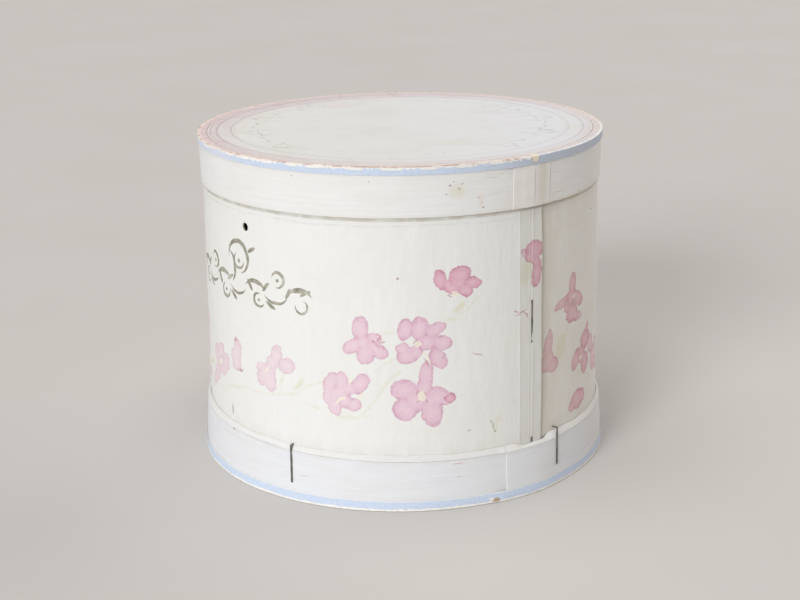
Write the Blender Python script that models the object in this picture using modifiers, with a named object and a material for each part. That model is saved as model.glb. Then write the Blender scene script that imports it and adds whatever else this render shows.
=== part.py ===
"""Hat box: a tall round box of lapped and stapled paperboard, standing in a shallow tray, with a lift-off lid.

The box body is one sheet rolled into a slightly conical tube and stapled up its lap. It stands on a
round board inside a low, flared hoop. Wire staples hold the hoop to the tube, and a folded paper strip
closes the corner between hoop and board. The lid is a round board inside a shallow rim, closed the same
way, with a printed paper disc glued on top. Two punched holes below the lid take a carrying cord.

Frame: metres, +Z up, origin on the surface it stands on, in the middle of the box. The two cord holes
lie on the Y axis. Angles are in degrees about +Z, from -Y towards +X, so a point is
(r sin a, -r cos a, z).
"""

import math

import bmesh
import bpy
import numpy as np
from mathutils import Matrix

# ---------------------------------------------------------------- driving dimensions (metres, degrees)
HEIGHT = 0.243              # floor to the top of the lid
GAP = 0.0003                # between pieces that touch
PAPER = 0.00025             # binding strips and lid facing
BOARD = 0.0012              # wall sheet
HOOP_BOARD = 0.0011         # tray hoop
RIM_BOARD = 0.0007          # lid rim
DISC_BOARD = 0.0015         # round boards of tray and lid
STEP_DEG = 3.0              # length of one flat of a rolled sheet

WALL_R_FOOT = 0.14995       # outside of the wall, carried down to the floor
WALL_R_LID = 0.1473         # outside of the wall at the lid's lower edge
LID_EDGE_Z = 0.20785        # lower edge of the lid's rim
WALL_UNDER_END = 80.2       # the wall's hidden end, tucked under the lap
WALL_OUTER_END = 87.9       # the wall's visible end
WALL_TUCK_SPREAD = 15.0     # over which the tucked end comes back out to the wall's radius

HOOP_R_FOOT = 0.15435       # outside of the hoop at its foot
HOOP_R_TOP = 0.1521
HOOP_TOP_Z = 0.0372
HOOP_TOP_WAVE = 0.00219     # the hoop's top edge isn't level: this much up and down
HOOP_TOP_WAVE_AT = 279.2    # where it stands highest
HOOP_OUTER_END = 74.9
HOOP_UNDER_END = 85.75
HOOP_LAP_SPREAD = 11.7
BASE_DISC_R = 0.15275

RIM_R_FOOT = 0.14855        # outside of the lid's rim at its lower edge
RIM_R_TOP = 0.14945
RIM_OUTER_END = 77.4
RIM_UNDER_END = 84.4
RIM_LAP_SPREAD = 9.0
LID_DISC_R = 0.14835
LID_PAPER_R = 0.1427
BINDING_TOP_R = 0.1430      # inner edge of the lid's binding strip, on top
LID_BINDING_Z = 0.2370      # lower edge of the lid's binding strip
BASE_BINDING_Z = 0.0078     # upper edge of the tray's binding strip
BASE_BINDING_R = 0.1460     # inner edge of the tray's binding strip, underneath

CORD_HOLE_R = 0.0030
CORD_HOLE_Z = 0.1915

WIRE_W = 0.0016             # flat staple wire
WIRE_T = 0.00055
CLINCH = 0.0095             # bent-over end inside the box
SEAM_STAPLE_DEG = 84.4
SEAM_STAPLES_Z = ((0.0088, 0.0405), (0.1100, 0.1417), (0.2087, 0.2400))
SEAM_PROUD = 0.0003         # how far a seam staple's crown stands out of the sheet it bites into
HOOP_STAPLES = ((15.9, 0.0130, 0.0412), (92.9, 0.0142, 0.0420), (186.2, 0.0130, 0.0412), (283.2, 0.0134, 0.0424))
# --------------------------------------------------------------------------------------------------

# levels of the stack that rests on the floor, and of the lid, from the thicknesses
BASE_DISC_Z0 = PAPER + GAP
BASE_DISC_Z1 = BASE_DISC_Z0 + DISC_BOARD
WALL_Z0 = BASE_DISC_Z1 + GAP
LID_DISC_Z1 = HEIGHT - PAPER - GAP
LID_DISC_Z0 = LID_DISC_Z1 - DISC_BOARD
WALL_Z1 = LID_DISC_Z0 - GAP
RIM_Z1 = LID_DISC_Z1
WALL_LAP = BOARD + GAP
HOOP_LAP = HOOP_BOARD + GAP
RIM_LAP = RIM_BOARD + GAP


for old in list(bpy.data.objects):
    bpy.data.objects.remove(old, do_unlink=True)

scene = bpy.context.scene
parts = bpy.data.collections.new("hat_box")
scene.collection.children.link(parts)
cutters = bpy.data.collections.new("cutters")
scene.collection.children.link(cutters)


# ---------------------------------------------------------------- helpers
def ease(t):
    t = min(max(t, 0.0), 1.0)
    return t * t * (3.0 - 2.0 * t)


def at(r, deg, z):
    a = math.radians(deg)
    return (r * math.sin(a), -r * math.cos(a), z)


def spread(*stops):
    """Angles from the first stop to the last, with every stop hit and flats of about STEP_DEG between."""
    out = [stops[0]]
    for a, b in zip(stops, stops[1:]):
        n = max(1, round((b - a) / STEP_DEG))
        out += list(np.linspace(a, b, n + 1)[1:])
    return out


def finish(name, colour, roughness, metallic=0.0):
    m = bpy.data.materials.new(name)
    m.use_nodes = True
    b = m.node_tree.nodes["Principled BSDF"]
    b.inputs["Base Color"].default_value = (*colour, 1.0)
    b.inputs["Roughness"].default_value = roughness
    b.inputs["Metallic"].default_value = metallic
    m.diffuse_color = (*colour, 1.0)
    return m


def add(name, mesh, material, parent, lift=0.0):
    """An object in the parts collection. lift is the height of its parent's origin."""
    if lift:
        mesh.transform(Matrix.Translation((0.0, 0.0, -lift)))
    o = bpy.data.objects.new(name, mesh)
    parts.objects.link(o)
    o.data.materials.append(material)
    o.parent = parent
    return o


def strip(name, angles, rings):
    """An open sheet: one row of points for each ring, a function of the angle that gives (radius, height)."""
    bm = bmesh.new()
    first = [bm.verts.new(at(*(lambda p, d: (p[0], d, p[1]))(rings[0](a), a))) for a in angles]
    edges = [bm.edges.new((p, q)) for p, q in zip(first, first[1:])]
    row = first
    for ring in rings[1:]:
        out = bmesh.ops.extrude_edge_only(bm, edges=edges)
        new = [e for e in out["geom"] if isinstance(e, bmesh.types.BMVert)]
        by_place = {tuple(round(c, 7) for c in v.co): v for v in new}
        row = [by_place[tuple(round(c, 7) for c in v.co)] for v in row]
        for v, a in zip(row, angles):
            r, z = ring(a)
            v.co = at(r, a, z)
        edges = [bm.edges.get((p, q)) for p, q in zip(row, row[1:])]
    mesh = bpy.data.meshes.new(name)
    bm.to_mesh(mesh)
    bm.free()
    # the sheet's outer side is the one that faces away from the axis
    outward = sum(p.normal.x * p.center.x + p.normal.y * p.center.y + p.normal.z * 1e-9 for p in mesh.polygons)
    if outward < 0:
        mesh.flip_normals()
    return mesh


def thicken(o, thickness):
    s = o.modifiers.new("board", "SOLIDIFY")
    s.thickness = thickness
    s.offset = -1.0
    s.use_even_offset = True
    s.use_rim = True
    return s


def cut(o, cutter, name):
    b = o.modifiers.new(name, "BOOLEAN")
    b.operation = "DIFFERENCE"
    b.solver = "EXACT"
    b.object = cutter
    return b


def radial_prism(points, width, deg):
    """A flat outline in the plane through the axis at an angle, (radius, height) points, made width thick."""
    c = bpy.data.curves.new("outline", "CURVE")
    c.dimensions = "2D"
    c.fill_mode = "BOTH"
    c.extrude = width / 2.0
    s = c.splines.new("POLY")
    s.points.add(len(points) - 1)
    for p, (r, z) in zip(s.points, points):
        p.co = (r, z, 0.0, 1.0)
    s.use_cyclic_u = True
    o = bpy.data.objects.new("outline", c)
    scene.collection.objects.link(o)
    bpy.context.view_layer.update()
    mesh = bpy.data.meshes.new_from_object(o.evaluated_get(bpy.context.evaluated_depsgraph_get()))
    bpy.data.objects.remove(o)
    bm = bmesh.new()
    bm.from_mesh(mesh)
    bmesh.ops.remove_doubles(bm, verts=bm.verts, dist=1e-6)
    bmesh.ops.recalc_face_normals(bm, faces=bm.faces)
    a = math.radians(deg)
    out = (math.sin(a), -math.cos(a), 0.0)
    along = (math.cos(a), math.sin(a), 0.0)
    # the outline's x runs outwards, its y upwards, and its thickness round the box
    turn = Matrix(((out[0], 0.0, along[0], 0.0), (out[1], 0.0, along[1], 0.0), (0.0, 1.0, 0.0, 0.0), (0.0, 0.0, 0.0, 1.0)))
    bmesh.ops.transform(bm, matrix=turn, verts=bm.verts)
    if turn.determinant() < 0:
        bmesh.ops.reverse_faces(bm, faces=bm.faces)
    bm.to_mesh(mesh)
    bm.free()
    return mesh


def joined(name, meshes):
    """Several closed solids as one mesh."""
    bm = bmesh.new()
    for m in meshes:
        bm.from_mesh(m)
        bpy.data.meshes.remove(m)
    mesh = bpy.data.meshes.new(name)
    bm.to_mesh(mesh)
    bm.free()
    return mesh


def cutter(name, mesh):
    o = bpy.data.objects.new(name, mesh)
    cutters.objects.link(o)
    o.hide_render = True
    o.display_type = "WIRE"
    return o


def soften(o):
    o.data.shade_smooth()
    o.data.set_sharp_from_angle(angle=math.radians(30))


# ---------------------------------------------------------------- radii of the rolled sheets
def wall_cone(z):
    return WALL_R_FOOT + (WALL_R_LID - WALL_R_FOOT) * z / LID_EDGE_Z


def wall_outside(deg, z):
    """deg runs once round and on through the lap: from WALL_UNDER_END to WALL_OUTER_END + 360."""
    tucked = 1.0 - ease((deg - WALL_OUTER_END) / WALL_TUCK_SPREAD)
    return wall_cone(z) - WALL_LAP * tucked


def hoop_cone(z):
    return HOOP_R_FOOT + (HOOP_R_TOP - HOOP_R_FOOT) * (z - BASE_DISC_Z0) / (HOOP_TOP_Z - BASE_DISC_Z0)


def hoop_outside(deg, z):
    """deg runs from HOOP_OUTER_END, over the lap, to HOOP_UNDER_END + 360."""
    over = 1.0 - ease((deg - HOOP_UNDER_END) / HOOP_LAP_SPREAD)
    return hoop_cone(z) + HOOP_LAP * over


def hoop_top(deg):
    return HOOP_TOP_Z + HOOP_TOP_WAVE * math.cos(math.radians(deg - HOOP_TOP_WAVE_AT))


def rim_outside(deg, z):
    cone = RIM_R_FOOT + (RIM_R_TOP - RIM_R_FOOT) * (z - LID_EDGE_Z) / (RIM_Z1 - LID_EDGE_Z)
    over = 1.0 - ease((deg - RIM_UNDER_END) / RIM_LAP_SPREAD)
    return cone + RIM_LAP * over


# ---------------------------------------------------------------- finishes
printed_board = finish("printed_wall_board", (0.78, 0.77, 0.73), 0.75)
hoop_board = finish("white_hoop_board", (0.80, 0.79, 0.76), 0.75)
base_board = finish("grey_base_board", (0.52, 0.48, 0.41), 0.9)
base_tape = finish("blue_edge_paper", (0.55, 0.65, 0.80), 0.7)
lid_board = finish("grey_lid_board", (0.54, 0.50, 0.43), 0.9)
rim_board = finish("white_rim_board", (0.79, 0.78, 0.75), 0.75)
lid_print = finish("printed_lid_paper", (0.70, 0.69, 0.67), 0.7)
lid_tape = finish("blue_lid_edge_paper", (0.54, 0.64, 0.79), 0.7)

# ---------------------------------------------------------------- the box body and the lid's lift axis
body = bpy.data.objects.new("box_body_origin", None)
parts.objects.link(body)
lid = bpy.data.objects.new("lid_lift_axis", None)
lid.location = (0.0, 0.0, LID_EDGE_Z)
parts.objects.link(lid)

# ---------------------------------------------------------------- staples
seam_meshes, hoop_meshes, slot_meshes, bite_meshes, hoop_slot_meshes = [], [], [], [], []


def staple(deg, z0, z1, crown, inner):
    """A flat-wire staple. crown gives the radius of its outer face, inner the radius of the box's inner face."""
    near = lambda z: inner(z) - GAP
    far = lambda z: inner(z) - GAP - WIRE_T
    return radial_prism(
        [
            (crown(z0), z0),
            (crown(z1), z1),
            (far(z1), z1),
            (far(z1 - CLINCH), z1 - CLINCH),
            (near(z1 - CLINCH), z1 - CLINCH),
            (near(z1 - WIRE_T), z1 - WIRE_T),
            (crown(z1 - WIRE_T) - WIRE_T, z1 - WIRE_T),
            (crown(z0 + WIRE_T) - WIRE_T, z0 + WIRE_T),
            (near(z0 + WIRE_T), z0 + WIRE_T),
            (near(z0 + CLINCH), z0 + CLINCH),
            (far(z0 + CLINCH), z0 + CLINCH),
            (far(z0), z0),
        ],
        WIRE_W,
        deg,
    )


def slot(deg, z, r0, r1):
    """The slot that one leg goes through: the wire's section and a gap all round."""
    h = WIRE_T / 2 + GAP
    return radial_prism([(r0, z - h), (r1, z - h), (r1, z + h), (r0, z + h)], WIRE_W + 2 * GAP, deg)


for z0, z1 in SEAM_STAPLES_Z:
    deg = SEAM_STAPLE_DEG
    seam_meshes.append(
        staple(
            deg, z0, z1,
            crown=lambda z: wall_cone(z) + SEAM_PROUD,
            inner=lambda z: wall_cone(z) - WALL_LAP - BOARD - 0.00005,
        )
    )
    for z in (z0 + WIRE_T / 2, z1 - WIRE_T / 2):
        slot_meshes.append(slot(deg, z, wall_cone(z) - 0.006, wall_cone(z) + 0.004))
    # the crown bites into the sheet
    deep = SEAM_PROUD - WIRE_T - GAP
    a, b = z0 - GAP, z1 + GAP
    bite_meshes.append(
        radial_prism(
            [(wall_cone(a) + deep, a), (wall_cone(a) + 0.002, a), (wall_cone(b) + 0.002, b), (wall_cone(b) + deep, b)],
            WIRE_W + 2 * GAP,
            deg,
        )
    )

for deg, z0, z1 in HOOP_STAPLES:
    hoop_meshes.append(
        staple(
            deg, z0, z1,
            crown=lambda z, deg=deg: hoop_outside(deg if deg > HOOP_OUTER_END else deg + 360.0, z) + GAP + WIRE_T,
            inner=lambda z, deg=deg: wall_outside(deg if deg > WALL_UNDER_END else deg + 360.0, z) - BOARD - 0.00005,
        )
    )
    for z in (z0 + WIRE_T / 2, z1 - WIRE_T / 2):
        slot_meshes.append(slot(deg, z, wall_cone(z) - 0.006, wall_cone(z) + 0.0006))
    z = z0 + WIRE_T / 2
    hoop_slot_meshes.append(slot(deg, z, hoop_cone(z) - 0.002, hoop_cone(z) + 0.004))

# ---------------------------------------------------------------- cord holes, punched right across
bpy.ops.mesh.primitive_cylinder_add(vertices=24, radius=CORD_HOLE_R, depth=0.4, location=(0.0, 0.0, CORD_HOLE_Z), rotation=(math.pi / 2, 0.0, 0.0))
punch = bpy.context.active_object
punch.name = "cord_hole_punch"
for c in list(punch.users_collection):
    c.objects.unlink(punch)
cutters.objects.link(punch)
punch.hide_render = True
punch.display_type = "WIRE"
wall_slots = cutter("wall_staple_slots", joined("wall_staple_slots", slot_meshes))
wall_bites = cutter("wall_staple_bites", joined("wall_staple_bites", bite_meshes))
hoop_slots = cutter("hoop_staple_slots", joined("hoop_staple_slots", hoop_slot_meshes))

# ---------------------------------------------------------------- box body
wall_angles = spread(WALL_UNDER_END, WALL_OUTER_END, WALL_OUTER_END + WALL_TUCK_SPREAD, WALL_UNDER_END + 360.0, WALL_OUTER_END + 360.0)
wall = add(
    "body_wall",
    strip("body_wall", wall_angles, [lambda a: (wall_outside(a, WALL_Z0), WALL_Z0), lambda a: (wall_outside(a, WALL_Z1), WALL_Z1)]),
    printed_board,
    body,
)
thicken(wall, BOARD)
cut(wall, wall_bites, "staple_bites")
cut(wall, wall_slots, "staple_slots")
cut(wall, punch, "cord_holes")
soften(wall)

bpy.ops.mesh.primitive_cylinder_add(vertices=120, radius=BASE_DISC_R, depth=DISC_BOARD, location=(0.0, 0.0, (BASE_DISC_Z0 + BASE_DISC_Z1) / 2))
base_disc = bpy.context.active_object
base_disc.name = "base_disc"
base_disc.data.name = "base_disc"
for c in list(base_disc.users_collection):
    c.objects.unlink(base_disc)
parts.objects.link(base_disc)
base_disc.data.materials.append(base_board)
base_disc.parent = body
soften(base_disc)

hoop_angles = spread(HOOP_OUTER_END, HOOP_UNDER_END, HOOP_UNDER_END + HOOP_LAP_SPREAD, HOOP_OUTER_END + 360.0, HOOP_UNDER_END + 360.0)
hoop = add(
    "base_hoop",
    strip("base_hoop", hoop_angles, [lambda a: (hoop_outside(a, BASE_DISC_Z0), BASE_DISC_Z0), lambda a: (hoop_outside(a, hoop_top(a)), hoop_top(a))]),
    hoop_board,
    body,
)
thicken(hoop, HOOP_BOARD)
cut(hoop, hoop_slots, "staple_slots")
soften(hoop)

# the strip folded round the tray's lower corner; its ends meet just past the hoop's visible end
out = GAP + PAPER
binding_angles = spread(HOOP_OUTER_END + 0.15, HOOP_UNDER_END, HOOP_UNDER_END + HOOP_LAP_SPREAD, HOOP_OUTER_END + 359.85)
base_binding = add(
    "base_edge_binding",
    strip(
        "base_edge_binding",
        binding_angles,
        [
            lambda a: (BASE_BINDING_R, 0.0),
            lambda a: (hoop_outside(a, 0.0) + out, 0.0),
            lambda a: (hoop_outside(a, BASE_BINDING_Z) + out, BASE_BINDING_Z),
        ],
    ),
    base_tape,
    body,
)
thicken(base_binding, PAPER)
soften(base_binding)

for name, mesh in zip(("seam_staple_low", "seam_staple_middle", "seam_staple_top"), seam_meshes):
    mesh.name = name
    add(name, mesh, finish(name + "_wire", (0.16, 0.16, 0.17), 0.4, 0.9), body)
for name, mesh in zip(("hoop_staple_1", "hoop_staple_2", "hoop_staple_3", "hoop_staple_4"), hoop_meshes):
    mesh.name = name
    add(name, mesh, finish(name + "_wire", (0.16, 0.16, 0.17), 0.4, 0.9), body)

# ---------------------------------------------------------------- lid
rim_angles = spread(RIM_OUTER_END, RIM_UNDER_END, RIM_UNDER_END + RIM_LAP_SPREAD, RIM_OUTER_END + 360.0, RIM_UNDER_END + 360.0)
rim = add(
    "lid_rim",
    strip("lid_rim", rim_angles, [lambda a: (rim_outside(a, LID_EDGE_Z), LID_EDGE_Z), lambda a: (rim_outside(a, RIM_Z1), RIM_Z1)]),
    rim_board,
    lid,
    LID_EDGE_Z,
)
thicken(rim, RIM_BOARD)
soften(rim)

bpy.ops.mesh.primitive_cylinder_add(vertices=120, radius=LID_DISC_R, depth=DISC_BOARD, location=(0.0, 0.0, 0.0))
lid_disc = bpy.context.active_object
lid_disc.name = "lid_disc"
lid_disc.data.name = "lid_disc"
for c in list(lid_disc.users_collection):
    c.objects.unlink(lid_disc)
parts.objects.link(lid_disc)
lid_disc.data.materials.append(lid_board)
lid_disc.parent = lid
lid_disc.location = (0.0, 0.0, (LID_DISC_Z0 + LID_DISC_Z1) / 2 - LID_EDGE_Z)
soften(lid_disc)

bpy.ops.mesh.primitive_cylinder_add(vertices=120, radius=LID_PAPER_R, depth=PAPER, location=(0.0, 0.0, 0.0))
lid_paper = bpy.context.active_object
lid_paper.name = "lid_top_paper"
lid_paper.data.name = "lid_top_paper"
for c in list(lid_paper.users_collection):
    c.objects.unlink(lid_paper)
parts.objects.link(lid_paper)
lid_paper.data.materials.append(lid_print)
lid_paper.parent = lid
lid_paper.location = (0.0, 0.0, HEIGHT - PAPER / 2 - LID_EDGE_Z)
soften(lid_paper)

lid_binding_angles = spread(RIM_OUTER_END + 0.15, RIM_UNDER_END, RIM_UNDER_END + RIM_LAP_SPREAD, RIM_OUTER_END + 359.85)
lid_binding = add(
    "lid_edge_binding",
    strip(
        "lid_edge_binding",
        lid_binding_angles,
        [
            lambda a: (rim_outside(a, LID_BINDING_Z) + out, LID_BINDING_Z),
            lambda a: (rim_outside(a, HEIGHT) + out, HEIGHT),
            lambda a: (BINDING_TOP_R, HEIGHT),
        ],
    ),
    lid_tape,
    lid,
    LID_EDGE_Z,
)
thicken(lid_binding, PAPER)
soften(lid_binding)
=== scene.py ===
import math

import bmesh
import bpy
import numpy as np
from mathutils import Matrix, Vector, noise


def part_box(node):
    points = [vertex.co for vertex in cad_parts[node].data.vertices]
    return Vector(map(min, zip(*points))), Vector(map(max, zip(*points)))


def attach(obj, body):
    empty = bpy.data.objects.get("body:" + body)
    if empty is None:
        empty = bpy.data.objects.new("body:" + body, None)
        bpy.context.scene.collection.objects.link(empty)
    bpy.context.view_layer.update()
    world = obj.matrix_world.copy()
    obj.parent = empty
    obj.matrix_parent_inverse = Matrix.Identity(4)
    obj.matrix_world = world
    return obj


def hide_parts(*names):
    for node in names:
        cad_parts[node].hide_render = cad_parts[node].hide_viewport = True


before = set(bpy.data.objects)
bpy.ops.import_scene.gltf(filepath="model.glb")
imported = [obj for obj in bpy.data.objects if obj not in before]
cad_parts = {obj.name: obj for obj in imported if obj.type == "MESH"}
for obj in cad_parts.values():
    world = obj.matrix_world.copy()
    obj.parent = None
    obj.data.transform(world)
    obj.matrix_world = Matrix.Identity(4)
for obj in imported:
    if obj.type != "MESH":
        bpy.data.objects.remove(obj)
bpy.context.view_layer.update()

# ============================================================================================
# The box's own numbers, in millimetres and degrees. Angles run from -Y towards +X, so a point
# is (r sin a, -r cos a, z). They are the CAD's, and some of them are read from its parts' boxes just below.
# ============================================================================================
R_UNROLL = 148.5  # the radius at which sheets are unrolled: u = angle * R_UNROLL
BOARD, HOOP_BOARD, RIM_BOARD, DISC_BOARD, PAPER, GAP = 1.2, 1.1, 0.7, 1.5, 0.25, 0.3
MM = 0.001


def node_box(name):
    lo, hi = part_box(name)
    return np.array(lo) * 1000.0, np.array(hi) * 1000.0


HEIGHT = node_box("lid_top_paper")[1][2]
WALL_Z0, WALL_Z1 = node_box("body_wall")[0][2], node_box("body_wall")[1][2]
LID_EDGE_Z, RIM_Z1 = node_box("lid_rim")[0][2], node_box("lid_rim")[1][2]
BASE_DISC_Z0, BASE_DISC_Z1 = node_box("base_disc")[0][2], node_box("base_disc")[1][2]
LID_DISC_Z0, LID_DISC_Z1 = node_box("lid_disc")[0][2], node_box("lid_disc")[1][2]
LID_DISC_R = node_box("lid_disc")[1][0]
BASE_DISC_R = node_box("base_disc")[1][0]
LID_PAPER_R = node_box("lid_top_paper")[1][0]
LID_BINDING_Z = node_box("lid_edge_binding")[0][2]
BASE_BINDING_Z = node_box("base_edge_binding")[1][2]

WALL_R_FOOT, WALL_R_LID, WALL_UNDER_END, WALL_OUTER_END, WALL_TUCK_SPREAD = 149.95, 147.3, 80.2, 87.9, 15.0
HOOP_R_FOOT, HOOP_R_TOP, HOOP_TOP_Z, HOOP_TOP_WAVE, HOOP_TOP_WAVE_AT = 154.35, 152.1, 37.2, 2.19, 279.2
HOOP_OUTER_END, HOOP_UNDER_END, HOOP_LAP_SPREAD, BASE_BINDING_R = 74.9, 85.75, 11.7, 146.0
RIM_R_FOOT, RIM_R_TOP, RIM_OUTER_END, RIM_UNDER_END, RIM_LAP_SPREAD = 148.55, 149.45, 77.4, 84.4, 9.0
BINDING_TOP_R = 143.0
CORD_HOLE_R, CORD_HOLE_Z = 3.0, 191.5
WIRE_W, WIRE_T, CLINCH = 1.6, 0.55, 9.5
SEAM_STAPLE_DEG, SEAM_PROUD = 84.4, 0.3
SEAM_STAPLES = {"seam_staple_low": (8.8, 40.5), "seam_staple_middle": (110.0, 141.7), "seam_staple_top": (208.7, 240.0)}
HOOP_STAPLES = {
    "hoop_staple_1": (15.9, 13.0, 41.2, -1.8),
    "hoop_staple_2": (92.9, 14.2, 42.0, 3.3),
    "hoop_staple_3": (186.2, 13.0, 41.2, -1.2),
    "hoop_staple_4": (283.2, 13.4, 42.4, 0.8),
}


def ease(t):
    t = min(max(t, 0.0), 1.0)
    return t * t * (3.0 - 2.0 * t)


def bell(x, width):
    return math.exp(-((x / width) ** 2))


def wall_cone(z):
    return WALL_R_FOOT + (WALL_R_LID - WALL_R_FOOT) * z / 207.85


def wall_outside(deg, z):
    return wall_cone(z) - (BOARD + GAP) * (1.0 - ease((deg - WALL_OUTER_END) / WALL_TUCK_SPREAD))


def hoop_cone(z):
    return HOOP_R_FOOT + (HOOP_R_TOP - HOOP_R_FOOT) * (z - 0.55) / (HOOP_TOP_Z - 0.55)


def hoop_outside(deg, z):
    return hoop_cone(z) + (HOOP_BOARD + GAP) * (1.0 - ease((deg - HOOP_UNDER_END) / HOOP_LAP_SPREAD))


def hoop_top(deg):
    return HOOP_TOP_Z + HOOP_TOP_WAVE * math.cos(math.radians(deg - HOOP_TOP_WAVE_AT))


def rim_outside(deg, z):
    cone = RIM_R_FOOT + (RIM_R_TOP - RIM_R_FOOT) * (z - 207.85) / (242.45 - 207.85)
    return cone + (RIM_BOARD + GAP) * (1.0 - ease((deg - RIM_UNDER_END) / RIM_LAP_SPREAD))


def on_axis(r, deg, z):
    a = math.radians(deg)
    return Vector((r * math.sin(a) * MM, -r * math.cos(a) * MM, z * MM))


def grain(u, v, seed, size):
    """Smooth noise from about -1 to 1 on an unrolled sheet; it closes round the box, because it is read on the cylinder."""
    a = math.radians(u)
    r = R_UNROLL / size
    return noise.noise(Vector((r * math.sin(a) + seed * 7.31, -r * math.cos(a) + seed * 3.17, v / size + seed * 1.7)))


# ============================================================================================
# Mesh making
# ============================================================================================
def spaced(a, b, step):
    n = max(1, int(math.ceil((b - a) / step - 1e-6)))
    return list(np.linspace(a, b, n + 1))


def stations(a, b, step, fine=(), round_off=0.2, scale=1.0):
    """Places from a to b with their edge inset: close together in the fine ranges (from, to, step), and rounded
    over at both ends. scale is millimetres to one unit of the places."""
    cuts = sorted({a, b, *[min(max(x, a), b) for f in fine for x in f[:2]]})
    out = []
    for lo, hi in zip(cuts, cuts[1:]):
        mid = (lo + hi) / 2
        s = min([step] + [f[2] for f in fine if f[0] <= mid <= f[1]])
        out += spaced(lo, hi, s)[:-1]
    out.append(b)
    r = round_off / scale
    out = [x for x in out if a + 4.0 * r < x < b - 4.0 * r]
    ends = [(a, round_off), (a + 0.3 * r, 0.3 * round_off), (a + r, 0.0), (a + 3.0 * r, 0.0)]
    tail = [(b - 3.0 * r, 0.0), (b - r, 0.0), (b - 0.3 * r, 0.3 * round_off), (b, round_off)]
    return ends + [(x, 0.0) for x in out] + tail


def sheet(name, cols, rows, outer, thick, relief=None, holes=(), closed=False):
    """A rolled sheet of board or paper. cols are (degrees, inset) and rows (place, inset); outer(deg, place) gives the
    outer face's (radius, height), and relief(deg, place) moves both faces along their normal. Material slots: outer
    face 0, inner face 1, cut edges 2. The UV map blank holds millimetres on the unrolled sheet."""
    nc, nr = len(cols), len(rows)
    pts = np.zeros((2, nc, nr, 3))
    uv = np.zeros((nc, nr, 2))
    for i, (deg, ei) in enumerate(cols):
        for j, (v, ej) in enumerate(rows):
            uu, vv = deg, v
            lip = 0.0
            for hd, hz, hr, reach in holes:
                du, dz = (deg - hd) * math.radians(1) * R_UNROLL, v - hz
                m = max(abs(du), abs(dz))
                if m < reach + 1e-6:
                    d = math.hypot(du, dz)
                    if d > 1e-6:
                        t = ease((m - hr) / (reach - hr))
                        ragged = 1.0 + 0.05 * noise.noise(Vector((du * 1.3, dz * 1.3, hd)))
                        k = (m * ragged / d) * (1 - t) + t
                        uu, vv = hd + du * k / (math.radians(1) * R_UNROLL), hz + dz * k
                    lip += 0.42 * math.exp(-max(m - hr, 0.0) / 0.9)
            r, z = outer(uu, vv)
            r2, z2 = outer(uu, vv + 0.05)
            deep = thick(uu, vv) if callable(thick) else thick
            t = math.hypot(r2 - r, z2 - z)
            nrm = ((z2 - z) / t, -(r2 - r) / t)
            off = (relief(uu, vv) if relief else 0.0) - lip
            e = max(ei, ej)
            for side, depth in ((0, -e), (1, -(deep - e))):
                pts[side, i, j] = on_axis(r + nrm[0] * (off + depth), uu, z + nrm[1] * (off + depth))
            uv[i, j] = (math.radians(uu) * R_UNROLL, vv)
    skip = np.zeros((nc, nr), bool)
    loops = []
    for hd, hz, hr, reach in holes:
        inside = [
            (i, j)
            for i in range(nc - 1)
            for j in range(nr - 1)
            if abs((cols[i][0] + cols[i + 1][0]) / 2 - hd) * math.radians(1) * R_UNROLL < hr - 0.05 and abs((rows[j][0] + rows[j + 1][0]) / 2 - hz) < hr - 0.05
        ]
        for i, j in inside:
            skip[i, j] = True
        i0, i1 = min(i for i, j in inside), max(i for i, j in inside) + 1
        j0, j1 = min(j for i, j in inside), max(j for i, j in inside) + 1
        loops.append([(i, j0) for i in range(i0, i1)] + [(i1, j) for j in range(j0, j1)] + [(i, j1) for i in range(i1, i0, -1)] + [(i0, j) for j in range(j1, j0, -1)])
    at = lambda side, i, j: side * nc * nr + (i % nc) * nr + j
    faces, mats, corner_uv = [], [], []

    def face(mat, *ids):
        faces.append([at(*k) for k in ids])
        mats.append(mat)
        for s, i, j in ids:
            w = uv[i % nc, j].copy()
            if closed and i >= nc:
                w[0] += 2 * math.pi * R_UNROLL
            corner_uv.append(w)

    for i in range(nc if closed else nc - 1):
        for j in range(nr - 1):
            if skip[i % nc, j]:
                continue
            face(0, (0, i, j), (0, i + 1, j), (0, i + 1, j + 1), (0, i, j + 1))
            face(1, (1, i, j + 1), (1, i + 1, j + 1), (1, i + 1, j), (1, i, j))
        face(2, (0, i, nr - 1), (0, i + 1, nr - 1), (1, i + 1, nr - 1), (1, i, nr - 1))
        face(2, (1, i, 0), (1, i + 1, 0), (0, i + 1, 0), (0, i, 0))
    if not closed:
        for j in range(nr - 1):
            face(2, (0, 0, j), (0, 0, j + 1), (1, 0, j + 1), (1, 0, j))
            face(2, (0, nc - 1, j + 1), (0, nc - 1, j), (1, nc - 1, j), (1, nc - 1, j + 1))
    for loop in loops:
        for (i, j), (k, n) in zip(loop, loop[1:] + loop[:1]):
            face(2, (0, k, n), (0, i, j), (1, i, j), (1, k, n))
    return build(name, pts.reshape(-1, 3), faces, mats, corner_uv)


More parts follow.
